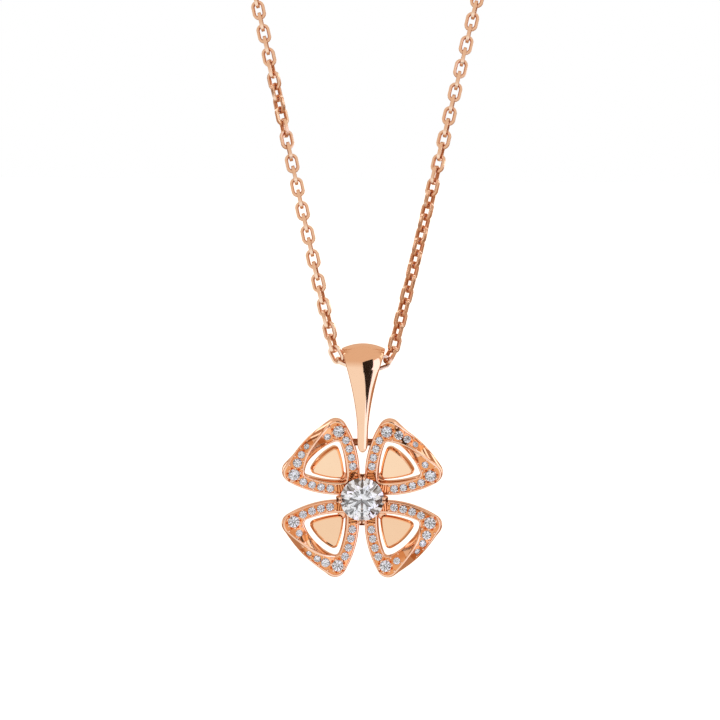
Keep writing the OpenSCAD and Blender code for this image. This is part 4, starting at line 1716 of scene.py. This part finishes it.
def claw_mesh():
    """Split claw: two prongs side by side, each with a bead at its end."""
    claw = bmesh.new()
    for sign in (-1, 1):
        middle = sign * PRONG_MIDDLE
        prism = prism_mesh(CLAW_SIDE, middle - PRONG_HALF, middle + PRONG_HALF, axis=1)
        prong = bevelled(prism, width=0.05, segments=2)
        claw.from_mesh(prong)
        bpy.data.meshes.remove(prong)
        x, y, z = CLAW_BEAD_AT
        place = Matrix.Translation(Vector((x, sign * y, z)) * MM) @ Matrix.Scale(BEAD_FLATNESS, 4, (0, 0, 1))
        size = {"u_segments": 16, "v_segments": 10, "radius": CLAW_BEAD_R * MM}
        bmesh.ops.create_uvsphere(claw, matrix=place, **size)
    return plain_mesh("split_claw", claw)


def arm_mesh():
    """Short arm behind a petal, leaning with it."""
    low, high = (ARM_START_R, ARM_BACK), (ARM_END_R, ARM_FRONT)
    outline = [low, (high[0], low[1]), high, (low[0], high[1])]
    arm = bevelled(prism_mesh(outline, -ARM_HALF_WIDTH, ARM_HALF_WIDTH, axis=1), width=0.1, segments=3)
    pivot = Matrix.Translation((CUP_PIVOT_R * MM, 0, 0))
    arm.transform(pivot @ Matrix.Rotation(-CUP, 4, "Y") @ pivot.inverted())
    return arm


# %% Geometry Nodes: claws and arms round the collar


def round_setting_tree():
    """The collar with its claws and arms, each repeated round the axis."""
    tree = ShapeTree("claws and arms round a collar", Claw="Object", Arm="Object", Count=4)
    points = tree.add("GeometryNodePoints", {"Count": tree.given("Count")})
    step = tree.math("DIVIDE", 2 * math.pi, tree.given("Count"))
    claw_turn = tree.math("MULTIPLY", tree.add("GeometryNodeInputIndex"), step)
    arm_turn = tree.math("ADD", claw_turn, tree.math("MULTIPLY", step, 0.5))
    together = tree.add("GeometryNodeJoinGeometry", {"Geometry": tree.given("Geometry")}, None)
    for shape, turn in (("Claw", claw_turn), ("Arm", arm_turn)):
        angles = tree.add("ShaderNodeCombineXYZ", {"Z": turn})
        rotation = tree.add("FunctionNodeEulerToRotation", {"Euler": angles})
        tree.wire(together, {"Geometry": tree.copies(points, shape, Rotation=rotation)})
    tree.finish(together.outputs[0], POLISHED)
    return tree


ROUND_SETTING = round_setting_tree()
claw = piece_from("claw", claw_mesh(), smooth_below=SETTING_CREASE)
arm = piece_from("arm", arm_mesh(), smooth_below=SETTING_CREASE)
basket = piece_from("claw_basket", collar_mesh(), smooth_below=SETTING_CREASE)
ROUND_SETTING.run(basket, Claw=claw, Arm=arm, Count=4)
bpy.data.objects.remove(claw)
bpy.data.objects.remove(arm)
print("basket with claws and arms has", len(basket.data.polygons), "faces")

# %% [markdown]
# The groove between a claw's two beads is deep and lies in shade. A narrow dark wedge between them
# is painted shade for it, from the stone's edge outwards.

# %% Painted shade in the claws' grooves
SHADE_WEDGE_INNER_R, SHADE_WEDGE_OUTER_R = 2.06, 2.55
SHADE_WEDGE_HALF_ANGLE = 0.095
SHADE_WEDGE_BACK, SHADE_WEDGE_FRONT = 1.5, 1.97
shade_wedge_corners = [
    (SHADE_WEDGE_INNER_R, 0), (SHADE_WEDGE_OUTER_R, -SHADE_WEDGE_HALF_ANGLE), (SHADE_WEDGE_OUTER_R, SHADE_WEDGE_HALF_ANGLE),
]
shade_wedge_outline = [(r * math.cos(a), r * math.sin(a)) for r, a in shade_wedge_corners]
for quarter in range(4):
    groove = prism_mesh(shade_wedge_outline, SHADE_WEDGE_BACK, SHADE_WEDGE_FRONT, axis=1)
    groove.transform(Matrix.Rotation(math.pi / 2 * quarter, 4, "Z") @ STAND_UP)
    take_in(basket, piece_from("groove", groove, [GROOVE_SHADE_GOLD]))
basket.data.transform(flower_matrix)
basket.data.set_sharp_from_angle(angle=math.radians(SETTING_CREASE))
hand_over(basket, "flower", "setting")

# %% [markdown]
# ## Sizes at the end
# The dressed necklace has to keep the CAD model's size, so both boxes are printed.

# %% Print both sizes
new_low, new_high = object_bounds()
sizes = {
    "cad": [list(cad_low), list(cad_high)],
    "visual": [list(new_low), list(new_high)],
}
print("CAD box   ", [round(v / MM, 2) for v in (*cad_low, *cad_high)])
print("visual box", [round(v / MM, 2) for v in (*new_low, *new_high)])
